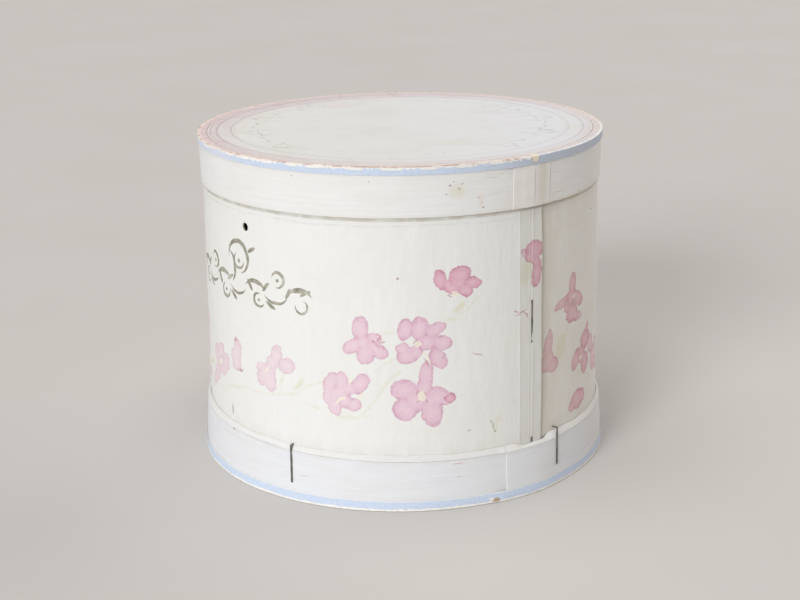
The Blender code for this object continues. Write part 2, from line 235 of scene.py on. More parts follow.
def build(name, verts, faces, mats, corner_uv, sharp=50.0):
    me = bpy.data.meshes.new(name)
    me.from_pydata([tuple(v) for v in verts], [], faces)
    me.polygons.foreach_set("material_index", mats)
    layer = me.uv_layers.new(name="blank")
    layer.data.foreach_set("uv", np.array(corner_uv, np.float32).ravel())
    used = np.zeros(len(verts), bool)
    for f in faces:
        used[f] = True
    if not used.all():
        bm = bmesh.new()
        bm.from_mesh(me)
        bm.verts.ensure_lookup_table()
        bmesh.ops.delete(bm, geom=[bm.verts[k] for k in np.nonzero(~used)[0]], context="VERTS")
        bm.to_mesh(me)
        bm.free()
    me.validate()
    me.shade_smooth()
    me.set_sharp_from_angle(angle=math.radians(sharp))
    o = bpy.data.objects.new(name, me)
    bpy.context.scene.collection.objects.link(o)
    return o


def disc(name, radius, z_low, z_high, rings, segments=240, relief=None, edge=None):
    """A round board or paper: a top face (slot 0), a bottom face (slot 1) and a cut edge (slot 2), rounded a little.
    The UV map blank holds x and y in millimetres."""
    r_off = min(0.25, (z_high - z_low) * 0.3)
    radii = [(x, 0.0) for x in rings if x < radius - 3 * r_off] + [(radius - 2 * r_off, 0.0), (radius - r_off, 0.0), (radius - 0.3 * r_off, 0.3 * r_off), (radius, r_off)]
    verts, uvs, faces, mats, corner_uv = [], [], [], [], []
    for side in (0, 1):
        verts.append(Vector((0, 0, (z_high if side == 0 else z_low) + (relief(0, 0) if relief else 0))) * MM)
        uvs.append((0.0, 0.0))
        for r, inset in radii:
            for k in range(segments):
                a = 2 * math.pi * k / segments
                rr = r
                if edge:
                    rr -= edge(math.degrees(a)) * ease((r - radius + 6) / 6)
                x, y = rr * math.sin(a), -rr * math.cos(a)
                z = (z_high - inset) if side == 0 else (z_low + inset)
                verts.append(Vector((x, y, z + (relief(x, y) if relief else 0))) * MM)
                uvs.append((x, y))
    n = 1 + len(radii) * segments
    at = lambda side, ring, k: side * n + 1 + ring * segments + k % segments

    def face(mat, ids):
        faces.append(ids)
        mats.append(mat)
        corner_uv.extend(uvs[i] for i in ids)

    for k in range(segments):
        face(0, [0, at(0, 0, k), at(0, 0, k + 1)])
        face(1, [n, at(1, 0, k + 1), at(1, 0, k)])
        for q in range(len(radii) - 1):
            face(0, [at(0, q, k), at(0, q + 1, k), at(0, q + 1, k + 1), at(0, q, k + 1)])
            face(1, [at(1, q, k + 1), at(1, q + 1, k + 1), at(1, q + 1, k), at(1, q, k)])
        q = len(radii) - 1
        face(2, [at(0, q, k), at(1, q, k), at(1, q, k + 1), at(0, q, k + 1)])
    return build(name, verts, faces, mats, corner_uv)


def wire(name, path, deg, tilt=0.0):
    """A flat staple wire with rounded edges, swept along a path of (radius, height) points in the plane through the axis
    at an angle. Sharp turns of the path are bent on a small radius."""
    pts = [Vector((p[0], p[1])) for p in path]
    fine = [pts[0]]
    for a, b, c in zip(pts, pts[1:], pts[2:]):
        turn = (b - a).angle(c - b)
        if turn < 0.05:
            fine.append(b)
            continue
        reach = min(0.62, (b - a).length * 0.45, (c - b).length * 0.45)
        p0, p2 = b + (a - b).normalized() * reach, b + (c - b).normalized() * reach
        for k in range(7):
            t = k / 6
            fine.append((1 - t) ** 2 * p0 + 2 * t * (1 - t) * b + t * t * p2)
    fine.append(pts[-1])
    # more points along the long runs, for the crown's slight bow
    run = [fine[0]]
    for a, b in zip(fine, fine[1:]):
        n = max(1, int((b - a).length / 2.0))
        run += [a + (b - a) * (k / n) for k in range(1, n + 1)]
    hw, ht, c = WIRE_W / 2, WIRE_T / 2, 0.17
    section = []
    for sx, sy in ((1, 1), (-1, 1), (-1, -1), (1, -1)):
        cx, cy = sx * (hw - c), sy * (ht - c)
        start = {(1, 1): 0, (-1, 1): 90, (-1, -1): 180, (1, -1): 270}[(sx, sy)]
        for k in range(3):
            t = math.radians(start + 45 * k)
            section.append((cx + c * math.cos(t), cy + c * math.sin(t)))
    ns = len(section)
    mid_z = sum(p.y for p in run) / len(run)
    a = math.radians(deg)
    out, along = Vector((math.sin(a), -math.cos(a), 0)), Vector((math.cos(a), math.sin(a), 0))
    verts, faces, mats, uvs = [], [], [], []
    length = 0.0
    for k, p in enumerate(run):
        d = (run[min(k + 1, len(run) - 1)] - run[max(k - 1, 0)]).normalized()
        nrm = Vector((-d.y, d.x))
        if k:
            length += (p - run[k - 1]).length
        lean = math.tan(math.radians(tilt)) * (p.y - mid_z)
        for x, y in section:
            q = p + nrm * y
            verts.append((out * q.x + along * (x + lean) + Vector((0, 0, q.y))) * MM)
            uvs.append((length, x + y))
    for k in range(len(run) - 1):
        for s in range(ns):
            t = (s + 1) % ns
            faces.append([k * ns + s, k * ns + t, (k + 1) * ns + t, (k + 1) * ns + s])
    faces.append(list(range(ns))[::-1])
    faces.append([(len(run) - 1) * ns + s for s in range(ns)])
    mats = [0] * len(faces)
    o = build(name, verts, faces, mats, [uvs[i] for f in faces for i in f], sharp=60.0)
    bm = bmesh.new()
    bm.from_mesh(o.data)
    bmesh.ops.recalc_face_normals(bm, faces=bm.faces)
    bm.to_mesh(o.data)
    bm.free()
    return o


# ============================================================================================
# Material making
# ============================================================================================
def lin(r, g, b):
    f = lambda c: c / 12.92 if c <= 0.04045 else ((c + 0.055) / 1.055) ** 2.4
    return (f(r / 255.0), f(g / 255.0), f(b / 255.0), 1.0)


REACH = 1.6


class Finish:
    """A material and short calls that add nodes to it, in the order in which they are worked out."""

    def __init__(self, name, roughness=0.7, metallic=0.0, specular=0.35):
        self.m = bpy.data.materials.new(name)
        self.m.use_nodes = True
        self.t = self.m.node_tree
        self.t.nodes.clear()
        self.count = 0
        self.bsdf = self.new("ShaderNodeBsdfPrincipled")
        self.bsdf.inputs["Roughness"].default_value = roughness
        self.bsdf.inputs["Metallic"].default_value = metallic
        self.bsdf.inputs["Specular IOR Level"].default_value = specular
        self.out = self.new("ShaderNodeOutputMaterial")
        self.t.links.new(self.bsdf.outputs["BSDF"], self.out.inputs["Surface"])

    def new(self, kind, **props):
        n = self.t.nodes.new(kind)
        for k, v in props.items():
            setattr(n, k, v)
        n.location = ((self.count % 40) * 180, -(self.count // 40) * 320)
        self.count += 1
        return n

    def put(self, socket, value):
        if isinstance(value, bpy.types.NodeSocket):
            self.t.links.new(value, socket)
        else:
            socket.default_value = value

    def blank(self):
        return self.new("ShaderNodeUVMap", uv_map="blank").outputs["UV"]

    def place(self):
        """The piece's own place in the row frame, in millimetres."""
        c = self.new("ShaderNodeTexCoord").outputs["Object"]
        return self.vec("SCALE", c, scale=1000.0)

    def vec(self, op, a, b=None, scale=None):
        n = self.new("ShaderNodeVectorMath", operation=op)
        self.put(n.inputs[0], a)
        if b is not None:
            self.put(n.inputs[1], b)
        if scale is not None:
            self.put(n.inputs["Scale"], scale)
        return n.outputs["Value"] if op in ("LENGTH", "DOT_PRODUCT", "DISTANCE") else n.outputs["Vector"]

    def math(self, op, a, b=None, c=None, clamp=False):
        n = self.new("ShaderNodeMath", operation=op, use_clamp=clamp)
        self.put(n.inputs[0], a)
        if b is not None:
            self.put(n.inputs[1], b)
        if c is not None:
            self.put(n.inputs[2], c)
        return n.outputs[0]

    def split(self, v):
        n = self.new("ShaderNodeSeparateXYZ")
        self.put(n.inputs[0], v)
        return n.outputs[0], n.outputs[1], n.outputs[2]

    def join(self, x, y, z=0.0):
        n = self.new("ShaderNodeCombineXYZ")
        for s, v in zip(n.inputs, (x, y, z)):
            self.put(s, v)
        return n.outputs[0]

    def step(self, x, lo, hi, to0=0.0, to1=1.0):
        """Goes smoothly from to0 at lo to to1 at hi; lo may be above hi."""
        if lo > hi:
            lo, hi, to0, to1 = hi, lo, to1, to0
        n = self.new("ShaderNodeMapRange", interpolation_type="SMOOTHSTEP")
        self.put(n.inputs["Value"], x)
        for k, v in (("From Min", lo), ("From Max", hi), ("To Min", to0), ("To Max", to1)):
            n.inputs[k].default_value = v
        return n.outputs["Result"]

    def line(self, x, centre, half, soft):
        """1 on a line at centre, falling to 0 from half to half + soft on both sides."""
        return self.step(self.math("ABSOLUTE", self.math("SUBTRACT", x, centre)), half + soft, half)

    def noise(self, v, scale, detail=2.0, rough=0.5, stretch=None, shift=None, distortion=0.0):
        """About 0.2 to 0.8, around 0.5. scale is features to a millimetre; stretch multiplies it by axis."""
        n = self.new("ShaderNodeTexNoise", noise_dimensions="3D")
        if stretch or shift:
            mp = self.new("ShaderNodeMapping", vector_type="POINT")
            self.put(mp.inputs["Vector"], v)
            mp.inputs["Scale"].default_value = stretch or (1.0, 1.0, 1.0)
            mp.inputs["Location"].default_value = shift or (0.0, 0.0, 0.0)
            v = mp.outputs[0]
        self.put(n.inputs["Vector"], v)
        n.inputs["Scale"].default_value = scale
        n.inputs["Detail"].default_value = detail
        n.inputs["Roughness"].default_value = rough
        n.inputs["Distortion"].default_value = distortion
        return n.outputs["Fac"]

    def noise_colour(self, v, scale, detail=1.0):
        n = self.new("ShaderNodeTexNoise", noise_dimensions="3D")
        self.put(n.inputs["Vector"], v)
        n.inputs["Scale"].default_value = scale
        n.inputs["Detail"].default_value = detail
        return n.outputs["Color"]

    def mix(self, fac, a, b, blend="MIX"):
        n = self.new("ShaderNodeMix", data_type="RGBA", blend_type=blend)
        self.put(n.inputs[0], fac)
        self.put(n.inputs[6], a)
        self.put(n.inputs[7], b)
        return n.outputs[2]

    def ramp(self, fac, stops, interpolation="LINEAR"):
        n = self.new("ShaderNodeValToRGB")
        n.color_ramp.interpolation = interpolation
        e = n.color_ramp.elements
        while len(e) < len(stops):
            e.new(0.5)
        for el, (pos, col) in zip(e, stops):
            el.position = pos
            el.color = col
        self.put(n.inputs[0], fac)
        return n.outputs[0]

    def near(self, v, x, y, a, b, tilt=0.0):
        """1 at the middle of an ellipse, 1 - 1 / REACH on its outline and 0 well outside it."""
        mp = self.new("ShaderNodeMapping", vector_type="TEXTURE")
        self.put(mp.inputs["Vector"], v)
        mp.inputs["Location"].default_value = (x, y, 0.0)
        mp.inputs["Rotation"].default_value = (0.0, 0.0, math.radians(tilt))
        mp.inputs["Scale"].default_value = (a * REACH, b * REACH, 1.0)
        g = self.new("ShaderNodeTexGradient", gradient_type="SPHERICAL")
        self.put(g.inputs[0], mp.outputs[0])
        return g.outputs["Fac"]

    def oval(self, v, *item):
        """0 at the middle of an ellipse and 1 on its outline; it stops rising at REACH."""
        return self.math("MULTIPLY_ADD", self.near(v, *item), -REACH, REACH)

    def ovals(self, v, items, blend=0.0):
        """The nearest of several ellipses: under 1 inside any of them. With blend, near ones run together."""
        best = None
        for it in items:
            d = self.near(v, *it[:5])
            if best is None:
                best = d
            elif blend:
                best = self.math("SMOOTH_MAX", best, d, blend)
            else:
                best = self.math("MAXIMUM", best, d)
        return self.math("MULTIPLY_ADD", best, -REACH, REACH)

    def stroke(self, v, x, y, radius, width, mid, half):
        """A pen stroke along a circle, thick in the middle and thin at its ends: under 1 inside it. mid is the direction of
        its middle from the circle's centre, and half its half length, in degrees."""
        mp = self.new("ShaderNodeMapping", vector_type="TEXTURE")
        self.put(mp.inputs["Vector"], v)
        mp.inputs["Location"].default_value = (x, y, 0.0)
        mp.inputs["Rotation"].default_value = (0.0, 0.0, math.radians(mid))
        mp.inputs["Scale"].default_value = (2 * radius, 2 * radius, 1.0)
        turn = self.new("ShaderNodeTexGradient", gradient_type="RADIAL")
        self.put(turn.inputs[0], mp.outputs[0])
        ang = self.math("SUBTRACT", turn.outputs["Fac"], 0.5)
        taper = self.math("MULTIPLY_ADD", self.math("MULTIPLY", ang, ang), -((360.0 / half) ** 2), 1.0)
        taper = self.math("MULTIPLY", self.math("MAXIMUM", taper, 0.0001), width / (2 * radius))
        g = self.new("ShaderNodeTexGradient", gradient_type="SPHERICAL")
        self.put(g.inputs[0], mp.outputs[0])
        far = self.math("ABSOLUTE", self.math("SUBTRACT", g.outputs["Fac"], 0.5))
        return self.math("DIVIDE", far, taper)

    def colour(self, c):
        self.put(self.bsdf.inputs["Base Color"], c)

    def rough(self, r):
        self.put(self.bsdf.inputs["Roughness"], r)

    def bump(self, *layers):
        """layers are (height 0 to 1, depth in millimetres); they add up."""
        last = None
        for height, depth in layers:
            n = self.new("ShaderNodeBump")
            n.inputs["Strength"].default_value = 1.0
            n.inputs["Distance"].default_value = depth * MM
            self.put(n.inputs["Height"], height)
            if last is not None:
                self.put(n.inputs["Normal"], last)
            last = n.outputs["Normal"]
        self.put(self.bsdf.inputs["Normal"], last)


def paper_grain(f, p, light, dark, cream, along_v=True, stains=0.5, seed=0.0):
    """The colour and the heights of old white paper on board. Fibres run along v, or along u."""
    s = (1.0, 0.035, 1.0) if along_v else (0.035, 1.0, 1.0)
    s2 = (1.0, 0.22, 1.0) if along_v else (0.22, 1.0, 1.0)
    streak = f.noise(p, 0.55, 3.0, 0.6, stretch=s, shift=(seed, seed, 0))
    fibre = f.noise(p, 2.6, 3.0, 0.65, stretch=s2, shift=(seed * 2, 0, 0))
    cloud = f.noise(p, 0.022, 3.0, 0.55, shift=(seed, 3.0 + seed, 0))
    patch = f.noise(p, 0.075, 4.0, 0.62, shift=(9.0 + seed, seed, 0), distortion=0.6)
    c = f.mix(f.step(streak, 0.33, 0.68), light, dark)
    c = f.mix(f.step(cloud, 0.42, 0.72, 0.0, 0.55), c, cream)
    c = f.mix(f.step(fibre, 0.58, 0.80, 0.0, 0.22), c, lin(214, 210, 202))
    c = f.mix(f.step(patch, 0.60, 0.80, 0.0, 0.32 * stains), c, lin(224, 212, 188))
    speck = f.noise(p, 0.85, 1.0, 0.5, shift=(31.0 + seed, 5.0, 0))
    c = f.mix(f.step(speck, 0.775, 0.81, 0.0, 0.35 * stains), c, lin(150, 130, 104))
    cockle = f.noise(p, 0.11, 2.0, 0.5, stretch=(1.0, 0.35, 1.0) if along_v else (0.35, 1.0, 1.0), shift=(2.0, seed, 0))
    return c, streak, fibre, patch, cockle


def cut_board(name, core, rim, p_scale=1.0, seed=0.0):
    """The cut edge of board: thin layers, and loose fibre."""
    f = Finish(name, 0.9, specular=0.2)
    p = f.place()
    lay = f.noise(p, 3.0 * p_scale, 2.0, 0.6, stretch=(1.0, 1.0, 2.0), shift=(seed, 0, 0))
    blot = f.noise(p, 0.25, 3.0, 0.6, shift=(0, seed, 0))
    c = f.mix(f.step(lay, 0.35, 0.68), core, rim)
    c = f.mix(f.step(blot, 0.5, 0.75, 0.0, 0.5), c, lin(176, 158, 128))
    f.colour(c)
    f.rough(f.step(lay, 0.3, 0.7, 0.82, 0.98))
    f.bump((lay, 0.12))
    return f.m


def raw_board(name, base, dark, seed=0.0):
    """Unprinted board, as inside the box: pressed pulp with fibres and small flecks."""
    f = Finish(name, 0.9, specular=0.2)
    p = f.place()
    pulp = f.noise(p, 0.9, 4.0, 0.65, shift=(seed, 0, 0))
    cloud = f.noise(p, 0.02, 3.0, 0.55, shift=(0, seed, 0))
    fibre = f.noise(p, 2.2, 2.0, 0.6, stretch=(0.3, 1.0, 0.45), shift=(seed, seed, 0))
    fleck = f.noise(p, 0.7, 0.0, 0.5, shift=(7 + seed, 3, 1))
    foxing = f.noise(p, 0.06, 4.0, 0.65, shift=(seed, 11, 2), distortion=0.8)
    c = f.mix(f.step(pulp, 0.33, 0.70), base, dark)
    c = f.mix(f.step(cloud, 0.40, 0.70, 0.0, 0.6), c, tuple(0.86 * x for x in base[:3]) + (1.0,))
    c = f.mix(f.step(fibre, 0.60, 0.82, 0.0, 0.5), c, lin(226, 216, 196))
    c = f.mix(f.step(fleck, 0.74, 0.79, 0.0, 0.5), c, lin(110, 92, 70))
    c = f.mix(f.step(foxing, 0.60, 0.80, 0.0, 0.45), c, lin(168, 132, 88))
    f.colour(c)
    f.rough(f.step(pulp, 0.3, 0.7, 0.84, 0.97))
    f.bump((cloud, 0.6), (pulp, 0.10), (fibre, 0.06))
    return f.m


# -------------------------------------------------------------------------- the print on the wall
PERIOD = 466.5  # the print repeats twice round the box
LEFT = PERIOD  # the visible left part of the sheet lies one repeat on from its angle


def flower(x, y, size, turn, petals=5, squash=1.0, gap=0.0):
    """A generic flower for the back: petals round a centre."""
    out = []
    for k in range(petals):
        a = math.radians(turn + k * 360.0 / petals + 9.0 * math.sin(3.1 * k + x))
        s = size * (1.0 + 0.16 * math.sin(2.3 * k + y))
        out.append((x + math.cos(a) * s * 0.62, y + math.sin(a) * s * 0.62 * squash, s * 0.58, s * 0.44, math.degrees(a)))
    out.append((x, y, size * 0.36, size * 0.34, 0.0))
    return out


L = LEFT
PINK = [
    # two sprays in front: petals as (u, z, half length, half width, tilt)
    (L + 93.5, 131.0, 9.6, 6.0, 88), (L + 88.5, 118.5, 8.0, 4.8, 28), (L + 97.0, 113.5, 7.6, 6.4, 80), (L + 105.2, 116.5, 8.4, 5.2, -38), (L + 103.0, 124.0, 5.6, 4.4, 20), (L + 96.0, 121.0, 5.6, 5.6, 0),
    (L + 124.0, 131.0, 8.0, 5.0, 80), (L + 134.0, 131.5, 8.3, 6.3, 90), (L + 144.6, 130.0, 8.0, 4.4, 28), (L + 149.3, 120.3, 7.4, 5.4, -12), (L + 146.4, 109.8, 8.6, 5.2, -52), (L + 125.6, 112.6, 8.2, 6.3, 12), (L + 122.0, 117.5, 4.4, 4.6, 90), (L + 138.0, 121.5, 6.6, 5.2, 0), (L + 131.5, 115.5, 4.5, 5.0, 0),
    (L + 71.5, 90.5, 8.0, 5.2, 70), (L + 79.6, 92.2, 7.8, 4.5, 92), (L + 93.0, 91.5, 8.5, 5.7, 58), (L + 84.0, 87.5, 8.0, 4.6, 12), (L + 69.5, 81.5, 6.6, 3.7, 86), (L + 74.0, 74.5, 7.8, 4.6, 112), (L + 88.0, 76.0, 5.4, 4.6, 15), (L + 78.5, 84.0, 7.6, 5.4, 20), (L + 82.0, 78.0, 5.6, 4.2, 30), (L + 73.5, 82.0, 5.0, 5.6, 0),
    (L + 122.2, 88.2, 8.8, 7.6, 0), (L + 123.2, 73.6, 8.6, 8.4, 0), (L + 138.3, 98.0, 10.6, 5.0, 84), (L + 136.6, 89.4, 5.6, 6.0, 0), (L + 142.0, 70.6, 9.6, 7.8, 96), (L + 131.0, 80.0, 7.6, 8.0, 0), (L + 141.0, 79.0, 6.0, 5.0, 0), (L + 146.4, 82.0, 9.0, 6.6, -18), (L + 151.6, 80.6, 5.6, 5.0, 10),
    # left of the front
    (L + 28.0, 104.5, 8.0, 5.0, 72), (L + 37.0, 98.0, 7.4, 6.1, 8), (L + 24.0, 97.5, 5.4, 4.8, 0), (L + 17.5, 88.0, 10.8, 7.2, 48), (L + 12.0, 93.0, 4.6, 2.6, 28), (L + 20.5, 85.5, 7.4, 6.0, 0), (L + 21.8, 82.0, 6.2, 5.8, -50),
    (L - 14.5, 97.0, 10.4, 5.3, 80), (L - 16.0, 88.5, 6.6, 6.2, 0), (L - 19.2, 93.0, 4.2, 5.6, 0),
    (L - 33.0, 83.5, 8.0, 6.2, 70), (L - 42.0, 90.0, 8.0, 5.6, 45), (L - 51.0, 85.5, 8.0, 5.8, 100), (L - 50.0, 72.5, 9.0, 5.8, 60), (L - 57.0, 64.5, 7.6, 4.2, 38), (L - 38.0, 76.5, 6.0, 4.6, 20),
    # left of the lap's edge, cut by the sheet's end
    (L + 212.0, 176.0, 3.0, 4.0, 30),
    # past the lap
    (276.0, 117.0, 4.2, 3.2, -28),
    (300.5, 88.0, 7.0, 7.6, 0), (310.0, 74.0, 9.4, 10.0, 0), (319.0, 81.0, 7.0, 6.4, 30), (321.0, 66.0, 7.4, 5.2, -40),
]
PINK += flower(349.0, 118.0, 14.5, 20.0) + flower(370.0, 84.0, 13.0, -8.0, squash=0.9) + [(345.0, 68.0, 9.0, 4.6, 70), (351.0, 62.5, 5.0, 4.0, 20)]
PINK += [(L - 92.0, 98.0, 9.0, 5.6, 40), (L - 84.0, 104.0, 7.6, 5.0, -10), (L - 88.0, 91.0, 6.0, 5.0, 80), (L - 80.0, 62.0, 9.0, 4.8, 24)]
ROSE = [
    # the stronger pink ones
    (L + 148.5, 165.0, 7.4, 4.2, 100), (L + 162.0, 167.6, 8.2, 6.2, 14), (L + 171.2, 161.0, 6.6, 4.1, -8), (L + 156.5, 158.6, 6.4, 4.8, -20), (L + 165.5, 156.2, 6.0, 4.4, -30), (L + 153.0, 161.5, 3.6, 3.4, 0), (L + 161.5, 161.5, 6.0, 5.0, 0),
    (L + 154.4, 80.6, 4.2, 3.4, 12),
    (L + 220.5, 177.0, 8.4, 6.6, 0), (L + 216.5, 173.0, 5.0, 4.2, 30), (L + 222.6, 160.5, 10.4, 4.6, 82), (L + 221.8, 169.0, 4.0, 4.2, 0),
    (265.0, 143.0, 8.2, 4.8, 82), (264.0, 133.5, 7.2, 6.6, 0), (274.0, 130.2, 8.0, 5.2, -34), (264.5, 120.8, 8.0, 6.4, 24), (269.5, 118.4, 5.4, 4.6, -28),
    (236.6, 104.0, 9.6, 4.5, 74), (238.2, 111.5, 3.6, 2.0, 84), (233.6, 90.0, 5.8, 6.6, 90), (241.6, 88.6, 6.8, 6.2, 0), (238.0, 95.0, 4.4, 5.0, 0),
    (251.6, 131.8, 8.6, 3.4, 24), (257.5, 126.0, 5.6, 2.8, -40),
    (271.0, 84.0, 8.8, 5.6, 52), (288.0, 95.2, 9.4, 7.0, 12), (287.0, 77.5, 8.4, 7.2, 68), (280.5, 85.0, 6.4, 6.0, 0), (291.5, 103.0, 4.6, 3.2, 70),
    (274.4, 52.8, 11.0, 7.6, 8), (264.5, 49.5, 4.4, 3.8, 0), (281.5, 53.5, 5.6, 5.6, 0),
]
CREAM = [
    (L + 133.0, 120.6, 2.7, 2.5, 0), (L + 139.0, 110.5, 6.0, 1.1, -58), (L + 134.8, 83.2, 3.4, 4.6, -20), (L + 79.0, 79.6, 4.6, 1.3, 28), (L + 76.4, 77.4, 3.0, 0.8, 50), (L + 93.0, 83.0, 3.4, 1.0, 50), (L + 86.0, 93.0, 4.0, 0.8, 64), (L + 158.5, 154.2, 3.0, 1.6, -20),
    (L + 19.0, 92.0, 3.0, 1.2, 40), (266.8, 133.4, 2.0, 1.6, 0), (279.0, 83.0, 2.6, 2.0, 0), (349.0, 118.0, 2.8, 2.6, 0), (370.0, 84.0, 2.4, 2.3, 0), (313.0, 76.0, 2.4, 2.0, 0), (L - 44.0, 80.5, 3.2, 2.2, 30),
]
DOTS = [
    # stamens, and dark red touches at the centres
    (L + 130.6, 122.6, 1.5, 0.45, 50), (L + 135.6, 122.2, 1.3, 0.45, -30), (L + 134.6, 117.6, 1.4, 0.45, -70), (L + 138.2, 107.4, 3.6, 0.45, -58), (L + 131.6, 86.2, 1.7, 0.5, 60), (L + 137.4, 85.4, 1.6, 0.5, -40), (L + 138.4, 79.6, 1.9, 0.5, -64), (L + 132.2, 79.0, 1.5, 0.45, 40),
    (L + 106.4, 124.8, 2.7, 0.6, 62), (L + 103.4, 122.4, 1.8, 0.5, -20), (L + 108.8, 122.2, 1.9, 0.45, 24), (L + 110.2, 118.6, 1.6, 0.45, -40), (L + 105.0, 119.6, 1.8, 0.4, -64), (L - 10.0, 84.2, 2.8, 1.0, 16), (L - 16.4, 106.0, 2.4, 1.5, 30), (L + 154.8, 152.8, 2.2, 0.5, -30),
    (L + 210.0, 134.6, 5.4, 0.7, 24), (L + 213.6, 132.2, 3.8, 0.6, -48), (L + 205.6, 135.8, 2.4, 0.5, -10), (L + 173.4, 109.9, 2.6, 0.45, -22), (L + 119.4, 166.8, 1.2, 0.8, 60),
    (347.0, 120.4, 1.5, 0.5, 40), (351.4, 116.2, 1.5, 0.5, -50), (368.2, 86.0, 1.4, 0.45, 30), (372.0, 82.4, 1.4, 0.45, -60), (277.6, 85.6, 1.5, 0.5, 50), (281.6, 80.8, 1.6, 0.5, -50), (266.0, 130.4, 1.5, 0.5, -70),
]
STEMS = [
    (L - 21.0, 68.5, 12.0, 0.9, 13), (L + 0.5, 72.4, 13.0, 0.8, 5), (L + 26.0, 75.0, 15.0, 0.8, 9), (L + 33.5, 88.0, 6.0, 1.2, 66), (L + 46.0, 80.0, 8.0, 0.7, 30), (L + 60.0, 88.0, 10.0, 1.1, 24), (L + 84.0, 66.6, 12.0, 1.0, 6), (L + 99.0, 75.0, 9.4, 0.9, 50), (L + 109.0, 89.0, 9.0, 0.9, 56), (L + 118.0, 99.0, 7.0, 0.9, 40),
    (L + 111.0, 106.6, 9.0, 0.9, 36), (L + 115.0, 128.8, 8.0, 0.8, 4), (L + 157.0, 136.4, 8.0, 1.0, -8), (L + 168.0, 144.0, 9.0, 0.8, 34), (L + 189.0, 57.0, 6.0, 2.2, 74), (L + 60.0, 71.0, 9.0, 0.8, -20), (L - 62.0, 57.0, 13.0, 0.9, 12), (L - 70.0, 84.0, 10.0, 0.8, 30),
    (283.0, 70.6, 21.0, 1.1, -27), (262.0, 84.0, 7.0, 0.8, 60), (257.0, 110.0, 9.0, 0.9, 70), (300.0, 60.5, 6.0, 0.9, -10), (332.0, 92.0, 16.0, 0.9, 56), (352.0, 96.0, 12.0, 0.9, -36), (361.0, 66.0, 12.0, 0.9, 28), (384.0, 96.0, 11.0, 0.9, 34),
]
LEAVES = [(L + 213.6, 163.5, 11.4, 5.0, 78), (250.6, 99.5, 9.6, 5.8, 74), (L + 162.0, 145.0, 6.0, 2.2, 36), (336.0, 100.0, 9.0, 3.6, 66), (362.0, 104.0, 8.0, 3.2, -20), (L + 47.0, 86.0, 6.6, 2.0, 44), (L - 68.0, 74.0, 8.0, 2.4, 20)]
# a pen-drawn vine in place of the maker's lettering: a waving stem with curls and leaves
VINE = []
for k in range(7):
    x0 = L - 71.0 + 20.0 * k
    up = k % 2 == 0
    VINE.append((x0, 141.4 if up else 155.0, 13.2, 1.35 if up else 0.85, 90.0 if up else 270.0, 53.0))
VINE += [
    (L - 66.0, 142.4, 5.2, 0.95, 200.0, 140.0), (L - 46.0, 158.6, 5.6, 1.1, 20.0, 145.0), (L - 27.0, 141.0, 5.2, 1.0, 250.0, 140.0),
    (L - 9.5, 168.5, 11.6, 1.35, 62.0, 140.0), (L - 8.5, 166.0, 5.8, 0.85, 236.0, 128.0), (L - 28.5, 159.5, 15.0, 1.1, 8.0, 52.0),
    (L + 13.0, 141.4, 5.0, 0.95, 205.0, 140.0), (L + 31.0, 158.8, 5.4, 1.05, 30.0, 145.0), (L + 50.5, 142.2, 4.8, 0.8, 300.0, 140.0),
]
VINE_LEAVES = [
    (L - 77.5, 151.0, 5.4, 1.7, 128), (L - 60.0, 153.6, 5.0, 1.6, 48), (L - 55.5, 139.6, 5.0, 1.5, -30), (L - 36.0, 148.4, 5.2, 1.7, 118), (L - 20.6, 151.8, 4.8, 1.5, 30), (L - 16.4, 139.4, 5.0, 1.5, -36), (L + 4.0, 150.6, 5.2, 1.7, 122), (L + 20.0, 152.4, 4.8, 1.5, 44),
    (L + 24.4, 139.8, 5.0, 1.5, -30), (L + 40.0, 150.4, 4.8, 1.5, 64), (L + 54.0, 152.4, 4.4, 1.3, 24), (L + 6.4, 176.6, 4.6, 1.3, 30), (L - 46.0, 158.4, 1.5, 1.5, 0), (L - 8.4, 165.6, 1.7, 1.7, 0), (L + 31.0, 158.6, 1.4, 1.4, 0), (L - 27.0, 141.2, 1.3, 1.3, 0), (L + 13.0, 141.6, 1.3, 1.3, 0), (L - 66.0, 142.6, 1.3, 1.3, 0),
]
EDGE_REST = [(220.5, 177.0, 8.4, 6.6, 0), (222.6, 160.5, 10.4, 4.6, 82)]  # the cut flower's other half, which only the back's repeat shows


